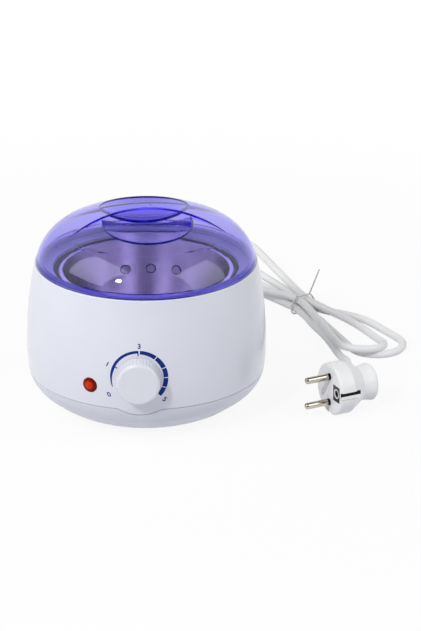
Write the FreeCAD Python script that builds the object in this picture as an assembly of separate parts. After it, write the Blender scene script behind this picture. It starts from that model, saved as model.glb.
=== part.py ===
import FreeCAD, Part
import math
import os

from FreeCAD import Vector

# Table-top wax warmer: a round casing with a lift-out pot under a see-through lid.
# Millimetres. The origin is on the floor under the casing's axis, +Z is up, and the knob faces -Y.

# Feet and bottom cover
FOOT_STAND_OFF = 1.5
FOOT_HEIGHT = 3.0
FOOT_RADIUS = 6.5
FOOT_INSET = 11.0
FOOT_COUNT = 4
BASE_FLAT_INSET = 29.2
CREASE_INSET = 11.7
CREASE_HEIGHT = 12.0
BASE_LOWER_CURVE = 60.0
BASE_UPPER_CURVE = 24.0
COVER_WALL = 2.4
TONGUE_WALL = 2.0
TONGUE_RISE = 4.0
TONGUE_ROOT = 5.5

# Casing
SEAM_HEIGHT = 27.5
SEAM_GAP = 0.3
SEAM_GROOVE = 0.5
SEAM_GROOVE_DEPTH = 1.0
BELLY_RADIUS = 83.2
BELLY_HEIGHT = 46.5
CASING_LOWER_CURVE = 172.0
CASING_UPPER_CURVE = 270.6
CASING_WALL = 2.4
SHOULDER_LAND = 3.0
SHOULDER_ROUND = 0.7
RECESS_DEPTH = 3.8
DECK_THICKNESS = 2.4
DECK_WIDTH = 9.7
TAB_HALF_WIDTH = 15.0
TAB_DEPTH = 4.4
WALL_HOLE_REACH = 10.0

# Screws that hold the bottom cover
POST_INSET = 17.2
POST_RADIUS = 4.2
POST_COUNT = 4
POST_START_ANGLE = 45.0
POST_FOOT_HEIGHT = 16.0
POST_TOP_HEIGHT = 46.0
POST_WEB = 2.0
COVER_BOSS_RADIUS = 5.4
COVER_BOSS_CEILING = 2.5
SCREW_SHANK_RADIUS = 1.4
SCREW_HEAD_RADIUS = 3.0
SCREW_HEAD_HEIGHT = 2.2
SCREW_LENGTH = 13.0
SCREW_CLEARANCE = 0.05
HEAD_CLEARANCE = 0.4

# Pot
POT_RIM_HEIGHT = 98.3
POT_RIM_GAP = 3.6
POT_RIM_WIDTH = 1.7
POT_RIM_THICKNESS = 1.2
POT_RIM_ROUND = 0.48
POT_WALL = 1.2
POT_TAPER = 7.9
POT_FLOOR_HEIGHT = 31.0
POT_CORNER = 15.0
RIVET_RADIUS = 2.8
RIVET_PITCH = 18.0
RIVET_COUNT = 3
RIVET_DROP = 20.6
RIVET_HEAD_RISE = 0.25
RIVET_CLEARANCE = 0.05
RIVET_BAR = 10.0

# Heated well
WELL_GAP = 0.6
WELL_FLOOR_GAP = 0.4
WELL_WALL = 1.5
WELL_FLANGE_INSET = 0.9
GASKET_INNER_CLEARANCE = 0.6
WELL_SCREW_INSET = 3.5
WELL_SCREW_COUNT = 3
WELL_SCREW_SKIN = 0.8
HEATER_INNER_RADIUS = 12.0
HEATER_OUTER_RADIUS = 33.0
HEATER_THICKNESS = 2.0
CLAMP_RADIUS = 34.5
CLAMP_THICKNESS = 1.2
STUD_RADIUS = 2.5
STUD_LENGTH = 11.0
STUD_CLEARANCE = 0.1
NUT_FLATS = 8.0
NUT_HEIGHT = 4.0

# Temperature control and knob
KNOB_RISE = 22.7
KNOB_RADIUS = 15.5
KNOB_TAPER = 0.9
KNOB_PROTRUSION = 11.4
KNOB_STAND_OFF = 0.6
KNOB_EDGE_ROUND = 2.2
KNOB_WALL = 2.0
KNOB_FACE_WALL = 3.0
KNOB_BOSS_RADIUS = 5.0
KNOB_RIB_COUNT = 40
KNOB_RIB_GROOVE = 0.4
SHAFT_RADIUS = 3.0
SHAFT_FLAT = 0.9
SHAFT_RUNNING_GAP = 0.06
SHAFT_KNOB_GAP = 0.05
BUSH_RADIUS = 4.5
BUSH_CLEARANCE = 0.2
CONTROL_NUT_FLATS = 12.0
CONTROL_NUT_HEIGHT = 2.4
CONTROL_NUT_GAP = 0.5
CONTROL_WIDTH = 25.0
CONTROL_DEPTH = 11.0
CONTROL_HEIGHT = 22.0
CONTROL_CORNER = 3.0
CONTROL_SHOULDER_GAP = 0.5
TERMINAL_WIDTH = 5.0
TERMINAL_REACH = 6.0
TERMINAL_THICKNESS = 0.8
TERMINAL_SPACING = 12.0

# Indicator lamp
LENS_AZIMUTH = 24.0
LENS_RISE = 14.9
LENS_RADIUS = 5.25
LENS_BARREL_RADIUS = 4.3
LENS_BARREL_LENGTH = 8.0
LENS_FLANGE = 1.0
LENS_DOME_RISE = 1.3
LENS_CLEARANCE = 0.15
LAMP_RADIUS = 2.9
LAMP_LENGTH = 12.0
LAMP_CLEARANCE = 0.15

# Wiring block on the bottom cover
BLOCK_LENGTH = 26.0
BLOCK_WIDTH = 14.0
BLOCK_HEIGHT = 9.0
BLOCK_INSET = 17.2
BLOCK_ANGLE = 45.0
BLOCK_SCREW_RADIUS = 1.8
BLOCK_SCREW_DEPTH = 4.0
BLOCK_WAYS = 3

# Lid
LID_LAND = 2.4
LID_HEIGHT = 40.6
LID_LEAN = 10.5
LID_SHOULDER_SHARE = 0.5
LID_WALL = 2.0
LID_LIP_CLEARANCE = 0.4
LID_LIP_WALL = 1.8
LID_LIP_FLOOR_GAP = 0.4
LID_LIP_ROOT = 3.0
LID_TURN = 8.0
GRIP_HALF_THICKNESS = 5.4
GRIP_CURVE = 110.0
SHELF_DROP = 2.2
SHELF_INSET = 18.3
POCKET_BALL = 61.8
POCKET_PLACE = 22.8
POCKET_DEPTH = 15.4

# Cord
CORD_DIAMETER = 5.5
CORD_LIFT = 0.1
GLAND_RISE = 1.3
GLAND_REACH = 13.0
GLAND_INSIDE = 9.0
GLAND_ROOT_RADIUS = 5.6
GLAND_TIP_RADIUS = 4.0
GLAND_FLANGE_RADIUS = 7.2
GLAND_FLANGE = 1.6
GLAND_CLEARANCE = 0.15
GLAND_RING_COUNT = 3
GLAND_RING_DEPTH = 0.8
GLAND_RING_WIDTH = 1.2

# Hank: four lobes drawn in at a tie
TIE_X = 106.5
TIE_Y = 167.0
WAIST_ANGLE = -58.5
WAIST_PITCH = 6.5
WAIST_SLOTS = (-0.5, 0.5, 0, 1, -1)
TIE_WIRE = 1.2
TIE_GAP = 0.45
TIE_TAIL = 20.0
TIE_TAIL_LEAN = 25.0
TIE_TAIL_PLACE = 4.8
TIE_END_GAP = 1.0
LOBE_ANGLES = (-60.5, 119.5, -51.0, 127.0)
LOBE_REACHES = (85.5, 114.0, 85.5, 140.0)
LOBE_RADII = (17.5, 17.0, 19.5, 19.0)
# A shoulder is where a returning strand bows out, as far from the tie; 0 where it runs straight back
LOBE_SHOULDERS = (58.0, 0.0, 50.0, 0.0)
LOBE_BOWS = (1.5, 0.0, 5.0, 0.0)
LOBE_BOW_TURN = 4.0
LOBE_OUT_RISE = (6.9, 8.4, 0.0, 0.0)
LOBE_TIP_RISE = (6.7, 6.8, 0.0, 0.0)
LOBE_BACK_RISE = (1.6, 2.0, 0.0, 0.0)
HANK_START = (84.0, 178.0, 11.0)
HANK_START_ANGLE = -30.0
HANK_END = (114.0, 136.0, 2.85)
HANK_END_ANGLE = -66.0
GAP_STEP = 1.0
GAP_SKIP = 22.0

# Free stretches of the cord, from the gland to the hank and from the hank to the plug
BEND_SHARE = 0.45
STRAIGHT_RUN = 14.5
FEED_POINTS = (
    (1.6, 127.0, 33.4),
    (4.8, 143.0, 22.5),
    (10.4, 158.5, 12.6),
    (21.0, 176.0, 4.6),
    (29.4, 187.0, 3.2),
    (41.2, 192.6, 4.4),
    (54.4, 192.9, 7.7),
)
TAIL_POINTS = (
    (127.0, 103.5, 2.85),
    (131.4, 87.5, 3.0),
    (135.0, 70.5, 5.2),
    (138.0, 51.0, 11.2),
)

# Plug with two round pins
PLUG_X = 127.9
PLUG_Y = -20.3
PLUG_ANGLE = 29.5
PLUG_RADIUS = 18.5
PLUG_COLLAR = 11.0
PLUG_WAIST_PLACE = 22.0
PLUG_WAIST_RADIUS = 12.0
PLUG_WAIST_DIP = 0.5
PLUG_END_RADIUS = 14.0
PLUG_LENGTH = 32.4
PLUG_EDGE_ROUND = 2.0
PLUG_NECK_START = 17.0
PLUG_NECK_SLANT = 64.0
PLUG_NECK_LENGTH = 29.0
PLUG_NECK_ROOT_RADIUS = 6.6
PLUG_NECK_TIP_RADIUS = 4.2
PIN_SPACING = 19.0
PIN_RADIUS = 2.4
PIN_LENGTH = 19.0
PIN_ROOT = 6.0
PIN_CLEARANCE = 0.05
PIN_TIP_ROUND = 1.7
EARTH_WIDTH = 5.0
EARTH_THICKNESS = 0.8
EARTH_CHANNEL_WIDTH = 6.0
EARTH_CHANNEL_DEPTH = 2.4
EARTH_SOCKET_RADIUS = 2.6
EARTH_SOCKET_DEPTH = 9.0
EARTH_SOCKET_PLACE = 10.0
GUIDE_WIDTH = 5.4
GUIDE_DEPTH = 2.0
GUIDE_LENGTH = 9.0

# Sizes that follow from the ones above
AXIS = Vector(0, 0, 1)
CORD_RADIUS = CORD_DIAMETER / 2.0
DECK_UNDERSIDE = POT_RIM_HEIGHT
DECK_TOP = DECK_UNDERSIDE + DECK_THICKNESS
SHOULDER_HEIGHT = DECK_TOP + RECESS_DEPTH
SHOULDER_RISE = SHOULDER_HEIGHT - BELLY_HEIGHT
SHOULDER_SLOPE = CASING_UPPER_CURVE - math.sqrt(CASING_UPPER_CURVE ** 2 - SHOULDER_RISE ** 2)
RECESS_RADIUS = BELLY_RADIUS - SHOULDER_SLOPE - SHOULDER_LAND
DECK_HOLE_RADIUS = RECESS_RADIUS - DECK_WIDTH
WELL_FLANGE_RADIUS = RECESS_RADIUS - WELL_FLANGE_INSET
WELL_SCREW_CIRCLE = WELL_FLANGE_RADIUS - WELL_SCREW_INSET
WELL_SCREW_GRIP = DECK_THICKNESS - WELL_SCREW_SKIN
POT_RIM_RADIUS = DECK_HOLE_RADIUS - POT_RIM_GAP
POT_MOUTH_RADIUS = POT_RIM_RADIUS - POT_RIM_WIDTH
POT_FLOOR_RADIUS = POT_MOUTH_RADIUS - POT_TAPER
RIVET_HEIGHT = POT_RIM_HEIGHT - RIVET_DROP
BASE_FLAT_RADIUS = BELLY_RADIUS - BASE_FLAT_INSET
CREASE_RADIUS = BELLY_RADIUS - CREASE_INSET
FOOT_CIRCLE_RADIUS = BASE_FLAT_RADIUS - FOOT_INSET
BLOCK_CIRCLE_RADIUS = BASE_FLAT_RADIUS - BLOCK_INSET
POST_CIRCLE_RADIUS = BELLY_RADIUS - POST_INSET
KNOB_HEIGHT = SEAM_HEIGHT + KNOB_RISE
KNOB_FACE_RADIUS = KNOB_RADIUS - KNOB_TAPER
LENS_HEIGHT = SEAM_HEIGHT + LENS_RISE
GLAND_HEIGHT = SEAM_HEIGHT + TONGUE_RISE + GLAND_FLANGE_RADIUS + GLAND_RISE
COVER_FLOOR = FOOT_STAND_OFF + COVER_WALL
FLANGE_TOP = POT_RIM_HEIGHT - POT_RIM_THICKNESS
WELL_FLOOR_TOP = POT_FLOOR_HEIGHT - WELL_FLOOR_GAP
WELL_BASE = WELL_FLOOR_TOP - WELL_WALL
LID_RADIUS = RECESS_RADIUS + LID_LAND
LID_LIP_DEPTH = RECESS_DEPTH - LID_LIP_FLOOR_GAP
LID_CREST = SHOULDER_HEIGHT + LID_HEIGHT
SHELF_REACH = LID_RADIUS - SHELF_INSET
BUSH_STAND_OUT = CONTROL_NUT_HEIGHT + KNOB_STAND_OFF
FRONT = Vector(0, -1, 0)
FAR = 400.0
TINY = 1e-6
SHELL_TOLERANCE = 1e-4


def place(radius, height):
    """A point of a turned profile, from its radius and height."""
    return Vector(radius, 0, height)


def line(start, end):
    return Part.LineSegment(start, end).toShape()


def bowed(start, end, radius):
    """An arc from start to end in the XZ plane that bows to the right of the way it runs."""
    chord = end - start
    half = chord.Length / 2.0
    rise = radius - math.sqrt(radius * radius - half * half)
    outward = Vector(chord.z, 0, -chord.x).normalize()
    middle = (start + end) * 0.5 + outward * rise
    return Part.Arc(start, middle, end).toShape()


def turned(edges):
    """A solid of revolution about Z from the edges of a closed profile in the XZ plane."""
    face = Part.Face(Part.Wire(Part.__sortEdges__(edges)))
    return face.revolve(Vector(0, 0, 0), AXIS, 360)


def turned_polygon(points):
    corners = [place(radius, height) for radius, height in points]
    closed = corners + corners[:1]
    return turned([line(a, b) for a, b in zip(closed, closed[1:])])


def disc(radius, bottom, top, centre=(0.0, 0.0)):
    return Part.makeCylinder(radius, top - bottom, Vector(centre[0], centre[1], bottom), AXIS)


def ring(outer, inner, bottom, top):
    return disc(outer, bottom, top).cut(disc(inner, bottom, top))


def on_circle(radius, count, start_angle=0.0):
    """Points spread evenly round the axis."""
    step = 360.0 / count
    turns = [math.radians(start_angle + step * number) for number in range(count)]
    return [(radius * math.cos(turn), radius * math.sin(turn)) for turn in turns]


def fused(shapes):
    whole = shapes[0]
    for shape in shapes[1:]:
        whole = whole.fuse(shape)
    return whole.removeSplitter()


def group(shapes):
    return Part.makeCompound(shapes)


def hexagon(flats, bottom, height):
    corner = flats / math.sqrt(3.0)
    points = [Vector(x, y, bottom) for x, y in on_circle(corner, 6)]
    face = Part.Face(Part.makePolygon(points + points[:1]))
    return face.extrude(Vector(0, 0, height))


def wall_curve(height):
    """The bow of the casing's side at a height."""
    return CASING_LOWER_CURVE if height < BELLY_HEIGHT else CASING_UPPER_CURVE


def casing_radius(height, inset=0.0):
    """The casing's radius at a height, or that of a wall face set in from it."""
    curve = wall_curve(height)
    rise = height - BELLY_HEIGHT
    return BELLY_RADIUS - curve + math.sqrt((curve - inset) ** 2 - rise ** 2)


def casing_side(bottom, top, inset=0.0):
    """The two arcs of the casing's side, from bottom to top."""
    low = place(casing_radius(bottom, inset), bottom)
    belly = place(BELLY_RADIUS - inset, BELLY_HEIGHT)
    high = place(casing_radius(top, inset), top)
    return [
        bowed(low, belly, CASING_LOWER_CURVE - inset),
        bowed(belly, high, CASING_UPPER_CURVE - inset),
    ]


def cup(floor_radius, mouth_radius, floor, mouth, corner):
    """A tapered, round-cornered plug of the shape that a drawn cup has."""
    body = turned_polygon(
        [(0, floor), (floor_radius, floor), (mouth_radius, mouth), (0, mouth)]
    )
    rims = [
        edge
        for edge in body.Edges
        if abs(edge.BoundBox.ZMax - floor) < TINY and edge.BoundBox.XLength > 1.0
    ]
    return body.makeFillet(corner, rims)


def outward_place(azimuth, height):
    """A placement at a height on the casing's side, with its Z axis pointing out of the wall."""
    turn = math.radians(azimuth - 90.0)
    outward = Vector(math.cos(turn), math.sin(turn), 0)
    spot = outward * casing_radius(height) + Vector(0, 0, height)
    return FreeCAD.Placement(spot, FreeCAD.Rotation(AXIS, outward))


def put(shape, placement):
    moved = shape.copy()
    moved.Placement = placement.multiply(moved.Placement)
    return moved


KNOB_PLACE = outward_place(0.0, KNOB_HEIGHT)
LENS_PLACE = outward_place(-LENS_AZIMUTH, LENS_HEIGHT)
GLAND_PLACE = outward_place(180.0, GLAND_HEIGHT)


def tab_prism(grow):
    """The tongue-shaped drop of the seam under the knob."""
    left = Vector(-TAB_HALF_WIDTH - grow, 0, SEAM_HEIGHT)
    right = Vector(TAB_HALF_WIDTH + grow, 0, SEAM_HEIGHT)
    lowest = Vector(0, 0, SEAM_HEIGHT - TAB_DEPTH - grow)
    outline = Part.Wire([Part.Arc(left, lowest, right).toShape(), line(right, left)])
    return Part.Face(outline).extrude(FRONT * FAR)


def tongue_radius():
    return casing_radius(SEAM_HEIGHT, CASING_WALL) - SEAM_GAP


def base_solid():
    """The bottom cover's outer form, filled, up to the seam."""
    flat = place(BASE_FLAT_RADIUS, FOOT_STAND_OFF)
    crease = place(CREASE_RADIUS, CREASE_HEIGHT)
    seam = place(casing_radius(SEAM_HEIGHT), SEAM_HEIGHT)
    centre = place(0, FOOT_STAND_OFF)
    top = place(0, SEAM_HEIGHT)
    return turned(
        [
            line(centre, flat),
            bowed(flat, crease, BASE_LOWER_CURVE),
            bowed(crease, seam, BASE_UPPER_CURVE),
            line(seam, top),
            line(top, centre),
        ]
    )


def base_shell():
    """The bottom cover's wall, open at the seam."""
    solid = base_solid()
    mouths = [face for face in solid.Faces if abs(face.BoundBox.ZMin - SEAM_HEIGHT) < TINY]
    return solid.makeThickness(mouths, -COVER_WALL, SHELL_TOLERANCE)


def screw_spots():
    return on_circle(POST_CIRCLE_RADIUS, POST_COUNT, POST_START_ANGLE)


def make_bottom_cover():
    shell = base_shell()
    reach = tongue_radius()
    root = ring(reach + SEAM_GAP, reach - TONGUE_WALL, SEAM_HEIGHT - TONGUE_ROOT, SEAM_HEIGHT)
    tongue = ring(reach, reach - TONGUE_WALL, SEAM_HEIGHT - TONGUE_ROOT, SEAM_HEIGHT + TONGUE_RISE)
    filled = base_solid()
    bosses = [disc(COVER_BOSS_RADIUS, 0, POST_FOOT_HEIGHT, spot).common(filled) for spot in screw_spots()]
    cover = fused([shell, root.common(filled), tongue] + bosses)
    notch = tab_prism(SEAM_GROOVE).cut(disc(reach, 0, FAR))
    groove_floor = casing_radius(SEAM_HEIGHT) - SEAM_GROOVE_DEPTH
    groove = ring(BELLY_RADIUS, groove_floor, SEAM_HEIGHT - SEAM_GROOVE, SEAM_HEIGHT)
    cover = cover.cut(notch).cut(groove)
    ceiling = POST_FOOT_HEIGHT - COVER_BOSS_CEILING
    for spot in screw_spots():
        cover = cover.cut(disc(SCREW_HEAD_RADIUS + HEAD_CLEARANCE, 0, ceiling, spot))
        cover = cover.cut(disc(SCREW_SHANK_RADIUS + HEAD_CLEARANCE, 0, FAR, spot))
    for spot in on_circle(FOOT_CIRCLE_RADIUS, FOOT_COUNT):
        cover = cover.cut(disc(FOOT_RADIUS, 0, FOOT_HEIGHT, spot))
    return cover


def make_feet():
    feet = []
    for x, y in on_circle(FOOT_CIRCLE_RADIUS, FOOT_COUNT):
        foot = disc(FOOT_RADIUS - SCREW_CLEARANCE, 0, FOOT_HEIGHT, (x, y))
        rims = [edge for edge in foot.Edges if edge.BoundBox.ZMax < TINY]
        feet.append(foot.makeFillet(FOOT_STAND_OFF / 2.0, rims))
    return group(feet)


def make_cover_screws():
    ceiling = POST_FOOT_HEIGHT - COVER_BOSS_CEILING
    screws = []
    for spot in screw_spots():
        head = disc(SCREW_HEAD_RADIUS, ceiling - SCREW_HEAD_HEIGHT, ceiling, spot)
        shank = disc(SCREW_SHANK_RADIUS, ceiling, ceiling + SCREW_LENGTH, spot)
        screws.append(fused([head, shank]))
    return group(screws)


def casing_shell():
    """The casing's turned wall, shoulder and deck."""
    outer_top = place(casing_radius(SHOULDER_HEIGHT), SHOULDER_HEIGHT)
    recess_top = place(RECESS_RADIUS, SHOULDER_HEIGHT)
    recess_floor = place(RECESS_RADIUS, DECK_TOP)
    hole_top = place(DECK_HOLE_RADIUS, DECK_TOP)
    hole_bottom = place(DECK_HOLE_RADIUS, DECK_UNDERSIDE)
    outside = casing_side(SEAM_HEIGHT, SHOULDER_HEIGHT)
    inside = casing_side(SEAM_HEIGHT, DECK_UNDERSIDE, CASING_WALL)
    deck_corner = place(casing_radius(DECK_UNDERSIDE, CASING_WALL), DECK_UNDERSIDE)
    seam_inside = place(casing_radius(SEAM_HEIGHT, CASING_WALL), SEAM_HEIGHT)
    seam_outside = place(casing_radius(SEAM_HEIGHT), SEAM_HEIGHT)
    shell = turned(
        outside
        + [
            line(outer_top, recess_top),
            line(recess_top, recess_floor),
            line(recess_floor, hole_top),
            line(hole_top, hole_bottom),
            line(hole_bottom, deck_corner),
        ]
        + inside
        + [line(seam_inside, seam_outside)]
    )
    rims = [edge for edge in shell.Edges if edge.BoundBox.ZMin > SHOULDER_HEIGHT - TINY]
    return shell.makeFillet(SHOULDER_ROUND, rims)


def make_post(spot, filled):
    """A screw post with a web to the casing's side."""
    post = disc(POST_RADIUS, POST_FOOT_HEIGHT, POST_TOP_HEIGHT, spot)
    turn = math.degrees(math.atan2(spot[1], spot[0]))
    web = Part.makeBox(
        BELLY_RADIUS - POST_CIRCLE_RADIUS,
        POST_WEB,
        POST_TOP_HEIGHT - SEAM_HEIGHT - TONGUE_RISE - SEAM_GAP,
        Vector(POST_CIRCLE_RADIUS, -POST_WEB / 2.0, SEAM_HEIGHT + TONGUE_RISE + SEAM_GAP),
    )
    web.rotate(Vector(0, 0, 0), AXIS, turn)
    return fused([post, web.common(filled)])


def casing_filled():
    """The casing's inner form with its wall, filled, to trim what is joined to the wall."""
    low = place(0, SEAM_HEIGHT)
    high = place(0, DECK_UNDERSIDE)
    half_wall = CASING_WALL / 2.0
    side_low = place(casing_radius(SEAM_HEIGHT, half_wall), SEAM_HEIGHT)
    side_high = place(casing_radius(DECK_UNDERSIDE, half_wall), DECK_UNDERSIDE)
    side = casing_side(SEAM_HEIGHT, DECK_UNDERSIDE, half_wall)
    return turned([line(low, side_low)] + side + [line(side_high, high), line(high, low)])


def make_casing():
    shell = casing_shell()
    reach = tongue_radius()
    tab = base_shell().common(tab_prism(0.0)).cut(disc(reach + SEAM_GAP, 0, FAR))
    filled = casing_filled()
    posts = [make_post(spot, filled) for spot in screw_spots()]
    casing = fused([shell, tab] + posts)
    pilot_top = POST_FOOT_HEIGHT + SCREW_LENGTH
    for spot in screw_spots():
        casing = casing.cut(disc(SCREW_SHANK_RADIUS + SCREW_CLEARANCE, 0, pilot_top, spot))
    for spot in well_screw_spots():
        bottom = DECK_UNDERSIDE - HEAD_CLEARANCE
        top = DECK_UNDERSIDE + WELL_SCREW_GRIP + HEAD_CLEARANCE
        casing = casing.cut(disc(SCREW_SHANK_RADIUS + SCREW_CLEARANCE, bottom, top, spot))
    bush_hole = disc(BUSH_RADIUS + BUSH_CLEARANCE, -WALL_HOLE_REACH, WALL_HOLE_REACH)
    lens_hole = disc(LENS_BARREL_RADIUS + LENS_CLEARANCE, -WALL_HOLE_REACH, WALL_HOLE_REACH)
    lens_seat = disc(LENS_RADIUS + LENS_CLEARANCE, -LENS_FLANGE, WALL_HOLE_REACH)
    gland_hole = disc(GLAND_ROOT_RADIUS + GLAND_CLEARANCE, -WALL_HOLE_REACH, WALL_HOLE_REACH)
    casing = casing.cut(put(bush_hole, KNOB_PLACE))
    casing = casing.cut(put(fused([lens_hole, lens_seat]), LENS_PLACE))
    return casing.cut(put(gland_hole, GLAND_PLACE))


def well_screw_spots():
    return on_circle(WELL_SCREW_CIRCLE, WELL_SCREW_COUNT, -90.0)


def make_heated_well():
    inner_floor = POT_FLOOR_RADIUS + WELL_GAP
    inner_mouth = POT_MOUTH_RADIUS + WELL_GAP
    outer_corner = POT_CORNER + WELL_WALL
    outside = cup(inner_floor + WELL_WALL, inner_mouth + WELL_WALL, WELL_BASE, FLANGE_TOP, outer_corner)
    inside = cup(inner_floor, inner_mouth, WELL_FLOOR_TOP, FLANGE_TOP, POT_CORNER)
    flange = disc(WELL_FLANGE_RADIUS, FLANGE_TOP - WELL_WALL, FLANGE_TOP)
    well = fused([outside, flange]).cut(inside)
    for spot in well_screw_spots():
        well = well.cut(disc(SCREW_SHANK_RADIUS + HEAD_CLEARANCE, 0, FAR, spot))
    return well.cut(disc(STUD_RADIUS + STUD_CLEARANCE, 0, WELL_FLOOR_TOP))


def make_well_gasket():
    gasket = ring(
        WELL_FLANGE_RADIUS,
        POT_RIM_RADIUS + GASKET_INNER_CLEARANCE,
        FLANGE_TOP,
        DECK_UNDERSIDE,
    )
    for spot in well_screw_spots():
        gasket = gasket.cut(disc(SCREW_SHANK_RADIUS + HEAD_CLEARANCE, 0, FAR, spot))
    return gasket


def make_well_screws():
    head_top = FLANGE_TOP - WELL_WALL
    screws = []
    for spot in well_screw_spots():
        head = disc(SCREW_HEAD_RADIUS, head_top - SCREW_HEAD_HEIGHT, head_top, spot)
        shank = disc(SCREW_SHANK_RADIUS, head_top, DECK_UNDERSIDE + WELL_SCREW_GRIP, spot)
        screws.append(fused([head, shank]))
    return group(screws)


def make_heater_ring():
    return ring(HEATER_OUTER_RADIUS, HEATER_INNER_RADIUS, WELL_BASE - HEATER_THICKNESS, WELL_BASE)


def clamp_top():
    return WELL_BASE - HEATER_THICKNESS


def make_heater_clamp():
    top = clamp_top()
    plate = disc(CLAMP_RADIUS, top - CLAMP_THICKNESS, top)
    hub = disc(HEATER_INNER_RADIUS - HEAD_CLEARANCE, top, WELL_BASE)
    bore = disc(STUD_RADIUS + STUD_CLEARANCE, 0, FAR)
    return fused([plate, hub]).cut(bore)


def make_heater_stud():
    return disc(STUD_RADIUS, WELL_FLOOR_TOP - STUD_LENGTH, WELL_FLOOR_TOP)


def make_heater_nut():
    top = clamp_top() - CLAMP_THICKNESS
    nut = hexagon(NUT_FLATS, top - NUT_HEIGHT, NUT_HEIGHT)
    return nut.cut(disc(STUD_RADIUS + STUD_CLEARANCE, 0, FAR))


def make_pot():
    outside = cup(POT_FLOOR_RADIUS, POT_MOUTH_RADIUS, POT_FLOOR_HEIGHT, POT_RIM_HEIGHT, POT_CORNER)
    inside = cup(
        POT_FLOOR_RADIUS - POT_WALL,
        POT_MOUTH_RADIUS - POT_WALL,
        POT_FLOOR_HEIGHT + POT_WALL,
        POT_RIM_HEIGHT,
        POT_CORNER - POT_WALL,
    )
    rim = disc(POT_RIM_RADIUS, FLANGE_TOP, POT_RIM_HEIGHT)
    pot = fused([outside, rim]).cut(inside)
    edges = [
        edge
        for edge in pot.Edges
        if edge.BoundBox.XLength > 2 * POT_RIM_RADIUS - 1e-3
    ]
    pot = pot.makeFillet(POT_RIM_ROUND, edges)
    for hole in rivet_bars(RIVET_RADIUS + RIVET_CLEARANCE):
        pot = pot.cut(hole)
    return pot


def pot_radius(height, inset=0.0):
    """The pot's side at a height, on its outer face or set in from it."""
    share = (height - POT_FLOOR_HEIGHT) / (POT_RIM_HEIGHT - POT_FLOOR_HEIGHT)
    return POT_FLOOR_RADIUS + (POT_MOUTH_RADIUS - POT_FLOOR_RADIUS) * share - inset


def rivet_bars(radius):
    """Bars through the pot's back wall at the rivets, square to the wall."""
    bars = []
    wall = pot_radius(RIVET_HEIGHT)
    for number in range(RIVET_COUNT):
        across = (number - (RIVET_COUNT - 1) / 2.0) * RIVET_PITCH
        turn = math.asin(across / wall)
        outward = Vector(math.sin(turn), math.cos(turn), 0)
        start = outward * (wall - RIVET_BAR / 2.0) + Vector(0, 0, RIVET_HEIGHT)
        bars.append(Part.makeCylinder(radius, RIVET_BAR, start, outward))
    return bars


def make_pot_rivets():
    """Rivets that end flush outside the pot and stand a little proud inside it."""
    floor = POT_FLOOR_HEIGHT
    top = POT_RIM_HEIGHT
    inset = POT_WALL + RIVET_HEAD_RISE
    outer = turned_polygon([(0, floor), (pot_radius(floor), floor), (pot_radius(top), top), (0, top)])
    inner = turned_polygon(
        [(0, floor), (pot_radius(floor, inset), floor), (pot_radius(top, inset), top), (0, top)]
    )
    wall = outer.cut(inner)
    return group([bar.common(wall).Solids[0] for bar in rivet_bars(RIVET_RADIUS)])


def make_knob():
    back = KNOB_STAND_OFF
    face = KNOB_PROTRUSION
    body = turned_polygon([(0, back), (KNOB_RADIUS, back), (KNOB_FACE_RADIUS, face), (0, face)])
    rims = [edge for edge in body.Edges if edge.BoundBox.ZMin > face - TINY and edge.BoundBox.XLength > 1.0]
    body = body.makeFillet(KNOB_EDGE_ROUND, rims)
    hollow_top = face - KNOB_FACE_WALL
    hollow = turned_polygon(
        [
            (0, back),
            (KNOB_RADIUS - KNOB_WALL, back),
            (KNOB_FACE_RADIUS - KNOB_WALL, hollow_top),
            (0, hollow_top),
        ]
    )
    boss_bottom = BUSH_STAND_OUT + CONTROL_NUT_GAP
    boss = disc(KNOB_BOSS_RADIUS, boss_bottom, face - KNOB_WALL)
    knob = fused([body.cut(hollow), boss])
    bore = shaft_section(SHAFT_RADIUS + SHAFT_KNOB_GAP, SHAFT_FLAT, 0, shaft_tip() + SHAFT_KNOB_GAP)
    knob = knob.cut(bore)
    groove_top = face - KNOB_EDGE_ROUND
    slope = (KNOB_RADIUS - KNOB_FACE_RADIUS) / (face - back)
    for x, y in on_circle(1.0, KNOB_RIB_COUNT, 180.0 / KNOB_RIB_COUNT):
        low = Vector(x, y, 0) * (KNOB_RADIUS + KNOB_RIB_GROOVE / 3.0) + Vector(0, 0, back)
        run = Vector(-x * slope, -y * slope, 1.0) * (groove_top - back)
        knob = knob.cut(Part.makeCylinder(KNOB_RIB_GROOVE, run.Length, low, run))
    return put(knob, KNOB_PLACE)


def shaft_tip():
    return KNOB_PROTRUSION - KNOB_FACE_WALL


def shaft_section(radius, flat, bottom, top):
    """A round bar with one flat side."""
    bar = disc(radius, bottom, top)
    keep = radius - flat
    cutter = Part.makeBox(FAR, FAR, top - bottom, Vector(keep, -FAR / 2.0, bottom))
    return bar.cut(cutter)


def control_face():
    """Where the control's front stands, behind the casing's inner face."""
    sag = CONTROL_WIDTH ** 2 / (8.0 * (BELLY_RADIUS - CASING_WALL))
    return -CASING_WALL - sag - SEAM_GAP


def make_control_shaft():
    flat_start = BUSH_STAND_OUT + SHAFT_RUNNING_GAP
    round_part = disc(SHAFT_RADIUS, control_face(), flat_start)
    tip = shaft_section(SHAFT_RADIUS, SHAFT_FLAT, flat_start, shaft_tip())
    return put(fused([round_part, tip]), KNOB_PLACE)


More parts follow.
